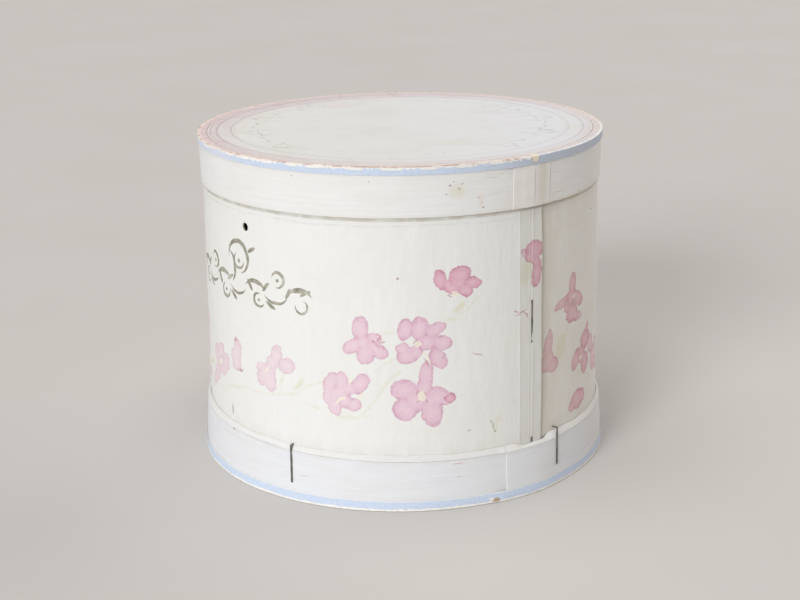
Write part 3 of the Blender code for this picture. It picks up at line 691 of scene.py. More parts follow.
def printed_wall():
    f = Finish("printed_wall_board", 0.66, specular=0.3)
    p = f.blank()
    u, z, _ = f.split(p)
    c, streak, fibre, patch, cockle = paper_grain(f, p, lin(240, 240, 240), lin(237, 238, 237), lin(237, 236, 232), stains=0.3, seed=1.0)
    # where the pattern is read: folded to one repeat, with the wander of a hand-cut block
    w = f.math("WRAP", u, LEFT + 228.0, 228.0)
    big = f.vec("SUBTRACT", f.noise_colour(p, 0.085, 1.0), (0.5, 0.5, 0.5))
    small = f.vec("SUBTRACT", f.noise_colour(p, 0.30, 2.0), (0.5, 0.5, 0.5))
    base = f.join(w, z, 0.0)
    pen = f.vec("ADD", base, f.vec("MULTIPLY", big, (2.6, 2.6, 0.0)))
    q = f.vec("ADD", pen, f.vec("MULTIPLY", small, (3.0, 3.0, 0.0)))
    q = f.vec("MULTIPLY", q, (1.0, 1.0, 0.0))
    pen = f.vec("MULTIPLY", pen, (1.0, 1.0, 0.0))
    stems = f.ovals(q, STEMS)
    leaves = f.ovals(q, LEAVES)
    pink = f.ovals(q, PINK, 0.2)
    rose = f.ovals(q, ROSE, 0.2)
    far_side = f.step(u, 400.0, 401.0, 9.0, 0.0)
    rose = f.math("MINIMUM", rose, f.math("ADD", f.ovals(q, EDGE_REST), far_side))
    cream = f.ovals(q, CREAM)
    dots = f.ovals(q, DOTS)
    vine = None
    for x, y, radius, width, mid, half in VINE:
        d = f.stroke(pen, x, y, radius, width * 1.35, mid, half)
        vine = d if vine is None else f.math("MINIMUM", vine, d)
    vine = f.math("MINIMUM", vine, f.ovals(pen, VINE_LEAVES))
    wash = f.noise(p, 0.16, 3.0, 0.6, shift=(3, 8, 0))
    dry = f.noise(p, 1.1, 2.0, 0.6, shift=(14, 2, 0))
    veins = f.noise(q, 0.5, 2.0, 0.55, stretch=(1.0, 0.25, 1.0), shift=(5, 1, 0))
    # stems and leaves, a faint yellow green
    c = f.mix(f.math("MULTIPLY", f.step(stems, 2.1, 0.35), f.step(wash, 0.30, 0.62, 0.14, 0.50)), c, lin(225, 221, 197))
    c = f.mix(f.math("MULTIPLY", f.step(leaves, 1.22, 0.62), f.step(dry, 0.25, 0.6, 0.62, 0.34)), c, lin(218, 214, 174))
    # petals: a flat wash, darker where two petals meet and at the rim
    tone = f.math("ADD", f.step(wash, 0.28, 0.72, -0.12, 0.16), f.math("MULTIPLY_ADD", veins, 0.35, -0.17))
    body = f.ramp(f.math("ADD", pink, tone), [(0.0, lin(235, 207, 220)), (0.45, lin(232, 200, 215)), (0.74, lin(229, 194, 211)), (0.92, lin(220, 178, 199)), (1.0, lin(210, 163, 187))])
    deep = f.ramp(f.math("ADD", rose, tone), [(0.0, lin(231, 190, 205)), (0.5, lin(227, 181, 197)), (0.76, lin(221, 169, 187)), (0.93, lin(210, 150, 173)), (1.0, lin(200, 136, 161))])
    fleck = f.noise(p, 1.9, 0.0, 0.5, shift=(4, 41, 0))
    worn = f.math("MULTIPLY", f.step(dry, 0.24, 0.38, 0.35, 0.97), f.step(fleck, 0.72, 0.66, 0.45, 1.0))
    faded = f.math("MULTIPLY", f.step(u, 2 * LEFT + 122.0, 2 * LEFT + 20.0), f.step(u, 2 * LEFT - 220.0, 2 * LEFT - 110.0))
    worn = f.math("MULTIPLY", worn, f.math("MULTIPLY_ADD", faded, -0.42, 1.0))
    c = f.mix(f.math("MULTIPLY", f.step(pink, 1.06, 0.93), worn), c, body)
    c = f.mix(f.math("MULTIPLY", f.step(rose, 1.06, 0.93), worn), c, deep)
    c = f.mix(f.math("MULTIPLY", f.step(cream, 1.1, 0.7), 0.85), c, lin(243, 236, 220))
    c = f.mix(f.math("MULTIPLY", f.step(dots, 1.4, 0.5), 0.60), c, lin(186, 118, 128))
    # the vine, in olive grey ink that has faded in places
    fade = f.math("MULTIPLY", f.step(wash, 0.26, 0.60, 0.62, 1.0), f.step(dry, 0.26, 0.42, 0.45, 0.95))
    ink = f.math("MULTIPLY", f.step(vine, 1.12, 0.80), fade)
    c = f.mix(ink, c, f.mix(f.step(wash, 0.35, 0.65), lin(164, 158, 138), lin(132, 128, 114)))
    # handling: a rubbed line under the lid, grey at the hoop, a few scratches and one scuff; and painted shade beside
    # the lap's edge and under the lid's edge
    wander = f.math("MULTIPLY_ADD", f.noise(p, 0.03, 2.0, 0.6, shift=(1, 9, 0)), 5.0, -2.5)
    zz = f.math("ADD", z, wander)
    c = f.mix(f.math("MULTIPLY", f.line(zz, 202.0, 0.30, 0.6), f.step(patch, 0.40, 0.62, 0.06, 0.24)), c, lin(196, 192, 182))
    c = f.mix(f.step(z, 205.0, 214.0, 0.0, 0.5), c, lin(237, 231, 216))
    thin = f.math("MULTIPLY_ADD", dry, 1.0, -0.5)
    beside = math.radians(WALL_OUTER_END) * R_UNROLL
    # painted shadow: a dark strip just right of the lap's edge, where the outer sheet's end casts it; it also darkens
    # the tucked end under the lap
    c = f.mix(f.math("MULTIPLY", f.step(f.math("ADD", u, thin), beside + 1.6, beside + 0.2), 0.62), c, lin(168, 158, 142))
    # painted shade: a mottled band to the right of the lap's edge, fading out over about 25 mm
    c = f.mix(f.math("MULTIPLY", f.step(u, beside + 26.0, beside + 0.5), f.step(patch, 0.30, 0.60, 0.22, 0.42)), c, lin(206, 197, 182))
    # darker to both sides of the lap's edge: over the outer sheet's last 20 mm, and as painted shade fading out 18 to
    # 44 mm right of the edge
    c = f.mix(f.math("ADD", f.step(u, beside + 912.5, beside + 914.5, 0.0, 0.16), f.step(u, beside + 44.0, beside + 18.0, 0.0, 0.12)), c, lin(158, 151, 134))
    yellowed = f.math("MULTIPLY", f.step(u, beside - 2.0, beside + 1.0), f.step(u, beside + 130.0, beside + 40.0))
    c = f.mix(f.math("MULTIPLY", yellowed, f.step(patch, 0.28, 0.62, 0.08, 0.26)), c, lin(226, 214, 196))
    # a dark line on the wall just under the lid's edge: partly painted shadow, partly dirt
    c = f.mix(f.math("MULTIPLY", f.line(f.math("ADD", z, thin), 206.6, 0.7, 0.9), f.step(patch, 0.30, 0.60, 0.22, 0.50)), c, lin(160, 151, 134))
    c = f.mix(f.math("MULTIPLY", f.line(zz, 211.0, 1.4, 5.0), f.step(patch, 0.35, 0.60, 0.05, 0.35)), c, lin(206, 196, 172))
    c = f.mix(f.math("MULTIPLY", f.step(zz, 52.0, 37.0), f.step(cockle, 0.35, 0.65, 0.06, 0.26)), c, lin(208, 204, 194))
    marks = f.ovals(p, [(2 * LEFT + u0, y, a, b, r) for u0, y, a, b, r in ((176.0, 109.4, 3.4, 0.4, -18), (168.0, 55.0, 1.4, 0.5, 20), (186.2, 56.0, 0.55, 3.4, 8), (187.8, 51.6, 1.0, 0.9, 0), (184.4, 59.2, 0.5, 1.4, -20), (150.0, 110.0, 1.4, 0.3, 60), (119.5, 166.6, 1.0, 0.8, 30))] + [(560.0, 60.0, 4.0, 0.35, 12), (640.0, 170.0, 0.4, 3.6, 8), (300.0, 190.0, 3.2, 0.35, -20), (720.0, 50.0, 1.6, 0.9, 20), (480.0, 188.0, 1.2, 0.9, 0)])
    c = f.mix(f.math("MULTIPLY", f.step(marks, 1.3, 0.5), 0.5), c, lin(128, 120, 96))
    scuff = f.oval(p, math.radians(350.6) * R_UNROLL, 50.0, 0.62, 4.6, -2)
    c = f.mix(f.math("MULTIPLY", f.step(scuff, 1.3, 0.6), f.step(dry, 0.25, 0.45, 0.6, 0.9)), c, lin(112, 104, 90))
    f.colour(c)
    ink_gloss = f.math("MULTIPLY", f.step(pink, 1.05, 0.95), -0.05)
    f.rough(f.math("ADD", f.step(fibre, 0.3, 0.7, 0.58, 0.74), ink_gloss))
    creases = f.math("ADD", f.line(u, 2 * LEFT + 208.0, 0.25, 0.9), f.math("ADD", f.line(u, 2 * LEFT + 216.5, 0.2, 0.8), f.line(u, 2 * LEFT + 219.5, 0.2, 0.7)))
    f.bump((cockle, 0.60), (streak, 0.025), (fibre, 0.03), (creases, 0.12), (f.step(marks, 1.3, 0.4, 1.0, 0.0), 0.08), (f.step(scuff, 1.3, 0.5, 1.0, 0.0), 0.10))
    return f.m


def white_rolled(name, seed, low, high, marks=(), along=False, tint=(1.0, 1.0, 1.0, 1.0)):
    """Plain white paper on a hoop or rim, grey along its edges from rubbing, and in part from painted shade. low and
    high are its edges' heights.
    """
    f = Finish(name, 0.68, specular=0.3)
    p = f.blank()
    u, z, _ = f.split(p)
    c, streak, fibre, patch, cockle = paper_grain(f, p, tuple(x * cool for x, cool in zip(lin(240, 240, 240), tint)), tuple(x * cool for x, cool in zip(lin(236, 236, 235), tint)), tuple(x * cool for x, cool in zip(lin(237, 234, 228), tint)), along_v=along, stains=0.5, seed=seed)
    wander = f.noise(p, 0.12, 3.0, 0.6, shift=(seed, 4, 0))
    edge = f.math("MULTIPLY_ADD", wander, 5.0, -2.5)
    zz = f.math("ADD", z, edge)
    # grey along the lower and upper edges: rubbed grime, and in part painted shade, below the hoop's top edge and along
    # the rim's lower edge
    c = f.mix(f.math("MULTIPLY", f.step(zz, low + 3.0, low - 1.0), f.step(wander, 0.35, 0.65, 0.12, 0.42)), c, lin(208, 201, 187))
    c = f.mix(f.math("MULTIPLY", f.step(zz, high - 3.0, high + 1.0), f.step(wander, 0.35, 0.65, 0.12, 0.36)), c, lin(212, 207, 195))
    # rubbed lines that run round, and specks
    lines = f.noise(p, 0.30, 2.0, 0.6, stretch=(0.03, 1.0, 1.0), shift=(seed, 2, 0))
    c = f.mix(f.step(lines, 0.60, 0.76, 0.0, 0.13), c, lin(216, 212, 202))
    crumb = f.noise(p, 0.9, 3.0, 0.65, shift=(seed + 3, 19, 0))
    for x, y, a, b, r, col, k in marks:
        d = f.oval(p, x, y, a, b, r)
        d = f.math("ADD", d, f.math("MULTIPLY_ADD", crumb, 1.5, -0.75))
        c = f.mix(f.math("MULTIPLY", f.step(d, 1.2, 0.35), k), c, col)
    f.colour(c)
    f.rough(f.step(fibre, 0.3, 0.7, 0.60, 0.76))
    f.bump((cockle, 0.55), (lines, 0.055), (streak, 0.025), (fibre, 0.03))
    return f.m


def blue_strip(name, lid):
    """Pale blue edging paper, rubbed through at the corner. v is the height up the side; over the top or under the foot it
    is the way along the strip."""
    f = Finish(name, 0.62, specular=0.3)
    p = f.blank()
    u, v, _ = f.split(p)
    q = f.place()
    qx, qy, qz = f.split(q)
    fibre = f.noise(p, 2.4, 3.0, 0.6, stretch=(0.25, 1.0, 1.0), shift=(2, 0, 0))
    mott = f.noise(p, 0.45, 3.0, 0.6, shift=(5, 5, 0))
    tear = f.noise(p, 0.34, 4.0, 0.68, stretch=(1.0, 0.25, 1.0), shift=(8, 1, 0))
    slow = f.noise(p, 0.03, 2.0, 0.5, stretch=(1.0, 0.0, 1.0), shift=(3, 6, 0))
    blue = f.mix(f.step(mott, 0.35, 0.65), lin(200, 215, 237), lin(211, 223, 242))
    blue = f.mix(f.step(fibre, 0.56, 0.8, 0.0, 0.5), blue, lin(228, 233, 241))
    blue = f.mix(f.step(mott, 0.62, 0.75, 0.0, 0.45), blue, lin(186, 200, 222))
    scuff = f.noise(p, 1.3, 3.0, 0.7, stretch=(0.4, 1.0, 1.0), shift=(1, 12, 0))
    blue = f.mix(f.step(scuff, 0.60, 0.70, 0.0, 0.8), blue, lin(240, 240, 238))
    paper = f.mix(f.step(mott, 0.35, 0.7), lin(248, 247, 245), lin(240, 237, 231))
    if lid:
        # how far down the rubbed corner reaches, in millimetres: deep in front, hardly at all past the lap
        a = f.math("ARCTAN2", qx, f.math("MULTIPLY", qy, -1.0))
        deg = f.math("MULTIPLY", a, 180.0 / math.pi)
        whole = f.math("MULTIPLY", f.step(deg, 81.0, 85.0), f.step(deg, 150.0, 120.0))
        worn = f.math("SUBTRACT", 1.0, whole)
        # painted highlight: the strip turns whiter round the lit left side
        painted_highlight_left = f.math("MULTIPLY", f.step(deg, 4.0, -14.0), f.step(deg, -80.0, -50.0))
        blue = f.mix(f.math("MULTIPLY", painted_highlight_left, 0.55), blue, lin(230, 230, 238))
        # painted shade: the strip turns greyer, in mottled patches, round the shaded right side past the lap
        painted_shade_right = f.math("MULTIPLY", f.step(deg, 62.0, 84.0), f.step(deg, 175.0, 120.0))
        blue = f.mix(f.math("MULTIPLY", painted_shade_right, f.step(mott, 0.3, 0.7, 0.35, 0.6)), blue, lin(190, 194, 200))
        depth = f.math("ADD", f.math("MULTIPLY_ADD", slow, 4.2, -0.75), f.math("MULTIPLY_ADD", tear, 5.6, -2.8))
        depth = f.math("ADD", f.math("MULTIPLY", f.math("MAXIMUM", depth, 0.42), worn), f.math("MULTIPLY_ADD", tear, 1.6, -0.72))
        over = f.math("SUBTRACT", qz, f.math("SUBTRACT", HEIGHT, depth))
        bare = f.step(over, -0.06, 0.06)
        c = f.mix(bare, blue, paper)
        side = f.step(f.vec("LENGTH", f.join(qx, qy, 0.0)), 148.0, 148.5)
        # the corner itself: a salmon under layer, and brown red board where that is gone too
        salmon = f.mix(f.step(mott, 0.35, 0.65), lin(238, 224, 215), lin(228, 208, 198))
        streaky = f.noise(p, 0.10, 3.0, 0.62, stretch=(1.0, 0.1, 1.0), shift=(4, 17, 0))
        wob = f.math("MULTIPLY_ADD", tear, 1.5, -0.75)
        low = f.step(f.math("ADD", qz, wob), HEIGHT - 0.66, HEIGHT - 0.46)
        c = f.mix(f.math("MULTIPLY", f.math("MULTIPLY", low, worn), f.step(slow, 0.25, 0.5, 0.45, 0.95)), c, salmon)
        front = f.math("MULTIPLY", f.step(deg, 20.0, 38.0), f.step(deg, 74.0, 60.0))
        likely = f.math("ADD", streaky, f.math("MULTIPLY", front, 0.10))
        core = f.line(f.math("ADD", qz, f.math("MULTIPLY", wob, 0.5)), HEIGHT - 0.28, 0.24, 0.16)
        core = f.math("MULTIPLY", f.math("MULTIPLY", core, side), f.math("MULTIPLY", f.step(likely, 0.52, 0.60, 0.0, 0.75), worn))
        c = f.mix(core, c, f.mix(f.step(tear, 0.40, 0.60), lin(172, 130, 116), lin(198, 160, 148)))
        # on top the strip has faded, pinkish at the left
        top = f.math("MULTIPLY", f.step(qz, HEIGHT - 0.32, HEIGHT - 0.1), f.math("SUBTRACT", 1.0, side))
        lean = f.step(f.vec("DOT_PRODUCT", q, (-0.0069, -0.0012, 0.0)), -0.5, 0.9)
        cap = f.mix(lean, f.mix(f.step(mott, 0.3, 0.7), lin(224, 217, 215), lin(214, 204, 206)), f.mix(f.step(tear, 0.35, 0.65), lin(212, 190, 195), lin(221, 204, 206)))
        c = f.mix(f.math("MULTIPLY", top, 0.92), c, cap)
        tatter = f.step(f.math("ADD", f.vec("LENGTH", f.join(qx, qy, 0.0)), f.math("MULTIPLY_ADD", tear, 4.0, -2.0)), 147.3, 147.6)
        c = f.mix(f.math("MULTIPLY", f.math("MULTIPLY", top, tatter), worn), c, salmon)
        height = f.math("SUBTRACT", 1.0, f.math("MULTIPLY", bare, 0.8))
    else:
        wave = f.math("ADD", f.math("MULTIPLY_ADD", tear, 3.0, -1.5), f.math("MULTIPLY_ADD", slow, 2.2, 0.75))
        bare = f.step(f.math("SUBTRACT", qz, wave), 0.10, -0.10)
        c = f.mix(bare, blue, paper)
        grime = f.noise(p, 0.2, 3.0, 0.6, shift=(2, 7, 0))
        c = f.mix(f.math("MULTIPLY", f.step(qz, 1.0, 0.0), f.step(grime, 0.45, 0.68, 0.05, 0.6)), c, lin(176, 160, 138))
        c = f.mix(f.math("MULTIPLY", f.step(f.math("ADD", qz, f.math("MULTIPLY_ADD", tear, 1.4, -0.7)), BASE_BINDING_Z - 1.1, BASE_BINDING_Z - 0.6), 0.85), c, lin(238, 238, 236))
        height = f.math("SUBTRACT", 1.0, f.math("MULTIPLY", bare, 0.8))
    f.colour(c)
    f.rough(f.step(fibre, 0.3, 0.7, 0.56, 0.74))
    f.bump((height, 0.14), (mott, 0.06), (fibre, 0.04))
    return f.m


def printed_lid():
    """The lid's printed paper: grey white, three fine rings, a faded mauve border and a faint wreath."""
    f = Finish("printed_lid_paper", 0.60, specular=0.32)
    p = f.blank()
    x, y, _ = f.split(p)
    r = f.vec("LENGTH", p)
    fibre = f.noise(p, 2.3, 3.0, 0.6, stretch=(1.0, 0.3, 1.0))
    mott = f.noise(p, 0.30, 4.0, 0.62, shift=(3, 3, 0))
    cloud = f.noise(p, 0.018, 3.0, 0.55, shift=(1, 7, 0))
    wear = f.noise(p, 0.06, 4.0, 0.65, shift=(6, 2, 0), distortion=0.5)
    streak = f.noise(p, 0.35, 3.0, 0.6, stretch=(0.05, 1.0, 1.0), shift=(2, 2, 0))
    # to the left it leans warm, to the right cool
    side = f.vec("DOT_PRODUCT", p, (0.0046, 0.0049, 0.0))
    c = f.mix(f.step(side, -0.7, 0.8), lin(231, 230, 226), lin(230, 231, 235))
    c = f.mix(f.step(mott, 0.35, 0.70, 0.0, 0.55), c, lin(225, 224, 221))
    c = f.mix(f.step(streak, 0.50, 0.70, 0.0, 0.35), c, lin(217, 215, 212))
    c = f.mix(f.step(cloud, 0.45, 0.70, 0.0, 0.5), c, lin(222, 219, 213))
    # mauve border, strongest at the left and back left
    lean = f.vec("DOT_PRODUCT", p, (-0.0069, 0.0005, 0.0))
    border = f.math("MULTIPLY", f.step(r, 132.0, 136.5), f.step(lean, -0.80, 0.85, 0.26, 0.95))
    between = f.math("MULTIPLY", f.step(r, 122.0, 127.0), f.step(lean, -0.1, 0.95, 0.05, 0.72))
    border = f.math("MAXIMUM", border, between)
    inner = f.math("MULTIPLY", f.step(r, 96.0, 128.0), f.step(lean, 0.25, 0.95, 0.0, 0.22))
    c = f.mix(f.math("MULTIPLY", f.math("MAXIMUM", border, inner), f.step(wear, 0.30, 0.60, 0.95, 0.45)), c, lin(210, 186, 195))
    blots = f.ovals(p, [(18.0, 88.0, 26.0, 9.0, 40), (60.0, 62.0, 12.0, 7.0, 20), (-96.0, 22.0, 18.0, 10.0, 70)])
    c = f.mix(f.math("MULTIPLY", f.step(blots, 1.3, 0.3), f.step(mott, 0.35, 0.60, 0.04, 0.17)), c, lin(214, 178, 194))
    # rings
    rr = f.math("ADD", r, f.math("MULTIPLY_ADD", wear, 1.4, -0.7))
    gaps = f.step(mott, 0.34, 0.52, 0.35, 0.9)
    ring_ink = f.math("MULTIPLY", gaps, f.step(lean, -0.5, 0.8, 0.50, 0.95))
    for radius, half, k, col in ((140.6, 0.30, 0.50, lin(164, 144, 148)), (135.6, 0.42, 0.52, lin(162, 142, 148)), (125.0, 0.36, 0.50, lin(158, 148, 146)), (122.6, 0.22, 0.22, lin(164, 156, 152))):
        c = f.mix(f.math("MULTIPLY", f.math("MULTIPLY", f.line(rr, radius, half, 0.7), ring_ink), k), c, col)
    # the wreath: one small spray, repeated round the lid
    ang = f.math("ARCTAN2", x, y)
    part = math.radians(30.0)
    local = f.math("WRAP", ang, part / 2, -part / 2)
    s = f.join(f.math("MULTIPLY", r, f.math("SINE", local)), f.math("SUBTRACT", f.math("MULTIPLY", r, f.math("COSINE", local)), 104.0), 0.0)
    wreath = None
    for a in ((0.0, -14.0, 16.0, 0.8, 90.0, 55.0), (-11.0, 8.0, 7.5, 0.7, 300.0, 110.0), (11.5, 7.0, 6.5, 0.7, 200.0, 120.0), (17.0, -9.0, 9.0, 0.6, 150.0, 70.0), (-16.0, -10.0, 9.0, 0.6, 30.0, 70.0)):
        d = f.stroke(s, *a)
        wreath = d if wreath is None else f.math("MINIMUM", wreath, d)
    wreath = f.math("MINIMUM", wreath, f.ovals(s, [(-5.0, 8.4, 4.6, 1.5, 60), (6.0, 9.0, 4.6, 1.5, 118), (0.0, 13.0, 3.8, 1.5, 90), (-20.0, 2.0, 4.2, 1.3, 20), (21.0, 3.0, 4.2, 1.3, -20)]))
    c = f.mix(f.math("MULTIPLY", f.step(wreath, 1.3, 0.6), f.math("MULTIPLY", f.step(wear, 0.34, 0.62, 0.46, 0.14), f.step(f.math("ABSOLUTE", f.vec("DOT_PRODUCT", p, (0.679, 0.734, 0.0))), 52.0, 88.0, 0.30, 1.0))), c, lin(158, 156, 150))
    stain = f.noise(p, 0.09, 4.0, 0.65, shift=(22, 5, 0), distortion=0.8)
    c = f.mix(f.step(stain, 0.61, 0.78, 0.0, 0.18), c, lin(208, 196, 174))
    scrape = f.noise(p, 0.28, 2.0, 0.5, stretch=(0.06, 1.0, 1.0), shift=(9, 1, 0))
    c = f.mix(f.step(scrape, 0.70, 0.76, 0.0, 0.5), c, lin(240, 239, 236))
    c = f.mix(f.step(r, 139.5, 142.4, 0.0, 0.5), c, lin(236, 228, 222))
    f.colour(c)
    f.rough(f.step(mott, 0.3, 0.7, 0.50, 0.68))
    f.bump((cloud, 0.6), (wear, 0.25), (streak, 0.05), (fibre, 0.04))
    return f.m


def staple_steel():
    """Old staple wire: dull grey steel, darker and browner in patches."""
    f = Finish("staple_wire", 0.42, 0.9, specular=0.5)
    p = f.place()
    patch = f.noise(p, 0.22, 4.0, 0.65)
    fine = f.noise(p, 3.0, 2.0, 0.6, stretch=(1.0, 1.0, 0.2))
    c = f.mix(f.step(patch, 0.35, 0.65), lin(146, 145, 142), lin(104, 101, 97))
    c = f.mix(f.step(fine, 0.55, 0.75, 0.0, 0.35), c, lin(176, 176, 174))
    rust = f.step(patch, 0.58, 0.72)
    c = f.mix(f.math("MULTIPLY", rust, 0.7), c, lin(112, 82, 60))
    f.colour(c)
    f.put(f.bsdf.inputs["Metallic"], f.math("SUBTRACT", 0.9, f.math("MULTIPLY", rust, 0.55)))
    f.rough(f.math("ADD", f.step(fine, 0.3, 0.7, 0.34, 0.48), f.math("MULTIPLY", rust, 0.3)))
    f.bump((fine, 0.02), (patch, 0.05))
    return f.m


def torn_paper(name, tint, shade, blotch):
    f = Finish(name, 0.85, specular=0.2)
    p = f.place()
    fib = f.noise(p, 2.4, 3.0, 0.65, stretch=(0.4, 1.0, 1.0))
    blot = f.noise(p, 0.5, 2.0, 0.5)
    c = f.mix(f.step(fib, 0.35, 0.7), tint, shade)
    c = f.mix(f.step(blot, 0.52, 0.72, 0.0, 0.45), c, blotch)
    f.colour(c)
    f.rough(f.step(fib, 0.3, 0.7, 0.78, 0.94))
    f.bump((fib, 0.08))
    return f.m


# ============================================================================================
# The pieces
# ============================================================================================
def dress(o, body, nodes, mats):
    for m in mats:
        o.data.materials.append(m)
    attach(o, body)
    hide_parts(*nodes)
    return o


inside_white = raw_board("lining_board", lin(226, 219, 204), lin(214, 205, 187), 2.0)
grey_board = raw_board("grey_board", lin(196, 186, 168), lin(180, 169, 149), 5.0)
lid_grey_board = raw_board("lid_grey_board", lin(204, 194, 176), lin(188, 177, 158), 9.0)
edge_board = cut_board("board_cut_edge", lin(222, 214, 198), lin(196, 184, 162), seed=1.0)
edge_white = cut_board("white_cut_edge", lin(240, 238, 231), lin(224, 218, 205), seed=6.0)
edge_paper = cut_board("paper_cut_edge", lin(240, 238, 232), lin(222, 216, 206), 2.0, seed=4.0)
steel = staple_steel()

# ---- wall
DENTS = ((400.0, 150.0, 0.35, 9.0), (352.0, 92.0, -0.22, 14.0), (300.0, 120.0, 0.30, 12.0), (250.0, 70.0, 0.35, 10.0), (205.0, 160.0, -0.25, 15.0), (150.0, 100.0, 0.30, 12.0), (120.0, 175.0, 0.22, 10.0), (430.0, 60.0, 0.22, 9.0), (418.0, 190.0, 0.15, 8.0))


def wall_relief(deg, z):
    free = ease((z - 36) / 30) * ease((206 - z) / 26)
    d = 0.30 * grain(deg, z, 1, 46.0) * free + 0.07 * grain(deg, z, 2, 11.0) * (0.35 + 0.65 * free)
    for a, h, k, w in DENTS:
        d -= k * bell((deg - a) * 2.59, w) * bell(z - h, w * 1.3) * free
    # the free end of the lap lifts a little between its staples
    end = ease((deg - 446.2) / 1.7)
    d += 0.38 * ease((deg - 440.5) / 7.4) * free
    d += 0.16 * end * max(0.0, math.sin(math.pi * min(max((z - 44) / 66.0, 0.0), 1.0))) + 0.20 * end * max(0.0, math.sin(math.pi * min(max((z - 142) / 62.0, 0.0), 1.0)))
    # creases beside the lap
    for a, k in ((440.2, 0.07), (443.6, -0.08), (444.8, 0.06)):
        d += k * bell((deg - a) * 2.59, 1.2)
    # the staples pull the board in at their legs
    for z0, z1 in SEAM_STAPLES.values():
        for h in (z0, z1):
            d -= 0.20 * bell((deg - 444.4) * 2.59, 2.4) * bell(z - h, 2.2)
    return d


def wall_outer(deg, z):
    if z > WALL_Z1 - 3.0:
        z = z - 0.18 * max(0.0, grain(deg, 0, 3, 5.0)) * ease((z - WALL_Z1 + 3.0) / 3.0)
    return wall_outside(deg, z), z


deg_mm = 1.0 / (math.radians(1) * R_UNROLL)
hole_half = 8 * 0.75 * deg_mm
cols = stations(
    WALL_UNDER_END, WALL_OUTER_END + 360.0, 1.25,
    fine=((WALL_UNDER_END, 103.0, 0.75), (180 - hole_half, 180 + hole_half, 0.75 * deg_mm), (360 - hole_half, 360 + hole_half, 0.75 * deg_mm), (436.0, 442.5, 0.5), (442.5, 447.9, 0.3)),
    scale=1 / deg_mm,
)
rows = stations(
    WALL_Z0, WALL_Z1, 5.0,
    fine=((8.0, 42.0, 4.0), (106.0, 114.0, 1.5), (138.0, 146.0, 1.5), (CORD_HOLE_Z - 6.0, CORD_HOLE_Z + 6.0, 0.75), (204.0, 212.0, 2.0), (236.0, 240.65, 1.2)),
)
holes = tuple((d, CORD_HOLE_Z, CORD_HOLE_R, 6.0) for d in (180.0, 360.0))
wall = sheet("wall_sheet", cols, rows, wall_outer, BOARD, wall_relief, holes)
dress(wall, "box_body", ["body_wall"], [printed_wall(), inside_white, edge_board])

# ---- the tray: hoop, board and edging
def hoop_outer(deg, v):
    """v runs from 0 at the foot to 1 at the top edge."""
    top = hoop_top(deg) - 0.22 * abs(grain(deg, 0, 5, 4.0)) - 0.12 * abs(grain(deg, 0, 6, 1.3)) - 0.35 * bell((deg - 367.3) * 2.59, 1.0)
    z = BASE_DISC_Z0 + (top - BASE_DISC_Z0) * (v / HOOP_TOP_Z)
    return hoop_outside(deg, z), z


def hoop_relief(deg, v):
    d = 0.16 * grain(deg, v, 7, 30.0) + 0.05 * grain(deg, v, 8, 9.0)
    d += 0.14 * ease((v - 26) / 11) * grain(deg, 0, 9, 22.0)
    d -= 0.12 * ease((80.0 - deg) / 3.3) * 0.0
    for a, z0, z1, _ in HOOP_STAPLES.values():
        for turn in (0.0, 360.0):
            for h in (z0, z1):
                d -= 0.16 * bell((deg - a - turn) * 2.59, 2.2) * bell(v - h, 2.2)
    return min(d, 0.2)


cols = stations(HOOP_OUTER_END, HOOP_UNDER_END + 360.0, 1.0, fine=((74.9, 78.0, 0.4), (91.4, 94.6, 0.4), (184.8, 187.6, 0.4), (281.8, 284.6, 0.4), (364.0, 371.0, 0.3), (374.4, 377.4, 0.4)), scale=1 / deg_mm)
rows = stations(0.0, HOOP_TOP_Z, 2.6, fine=((11.0, 15.5, 1.2), (33.0, 37.2, 0.9)))
hoop_marks = [
    (math.radians(360 + 61.4) * R_UNROLL, 34.4, 4.4, 0.5, 0, lin(206, 138, 124), 0.55),
    (math.radians(360 + 61.5) * R_UNROLL, 24.0, 1.6, 0.5, 20, lin(170, 150, 120), 0.5),
    (math.radians(360 + 20.0) * R_UNROLL, 20.0, 5.0, 0.4, 4, lin(186, 176, 156), 0.5),
    (math.radians(360 - 7.3) * R_UNROLL, 36.4, 1.1, 1.0, 0, lin(112, 104, 92), 0.75),
    (math.radians(200.0) * R_UNROLL, 18.0, 6.0, 0.5, -8, lin(180, 168, 144), 0.5),
    (math.radians(260.0) * R_UNROLL, 27.0, 2.0, 1.4, 30, lin(176, 158, 130), 0.5),
]


def hoop_thick(deg, v):
    """The hoop's upper edge is swollen with wear, except in the lap."""
    lap = ease((deg - 97.0) / 4.0) if deg < 200.0 else 1.0
    return HOOP_BOARD + 0.6 * lap * ease((v - 33.0) / 4.2)


hoop = sheet("tray_hoop", cols, rows, hoop_outer, hoop_thick, hoop_relief)
dress(hoop, "box_body", ["base_hoop"], [white_rolled("white_hoop_board", 11.0, 2.0, 37.0, hoop_marks, tint=(0.925, 0.940, 0.985, 1.0)), inside_white, edge_white])


def lip_wall(deg, z):
    """The wall's outer face, bridged over the step at its lap."""
    if deg < WALL_OUTER_END + 0.2:
        deg = deg + 360.0
    r = wall_outside(deg, z)
    return r + (wall_cone(z) - r) * (1.0 - ease((deg - WALL_OUTER_END) / 3.0))


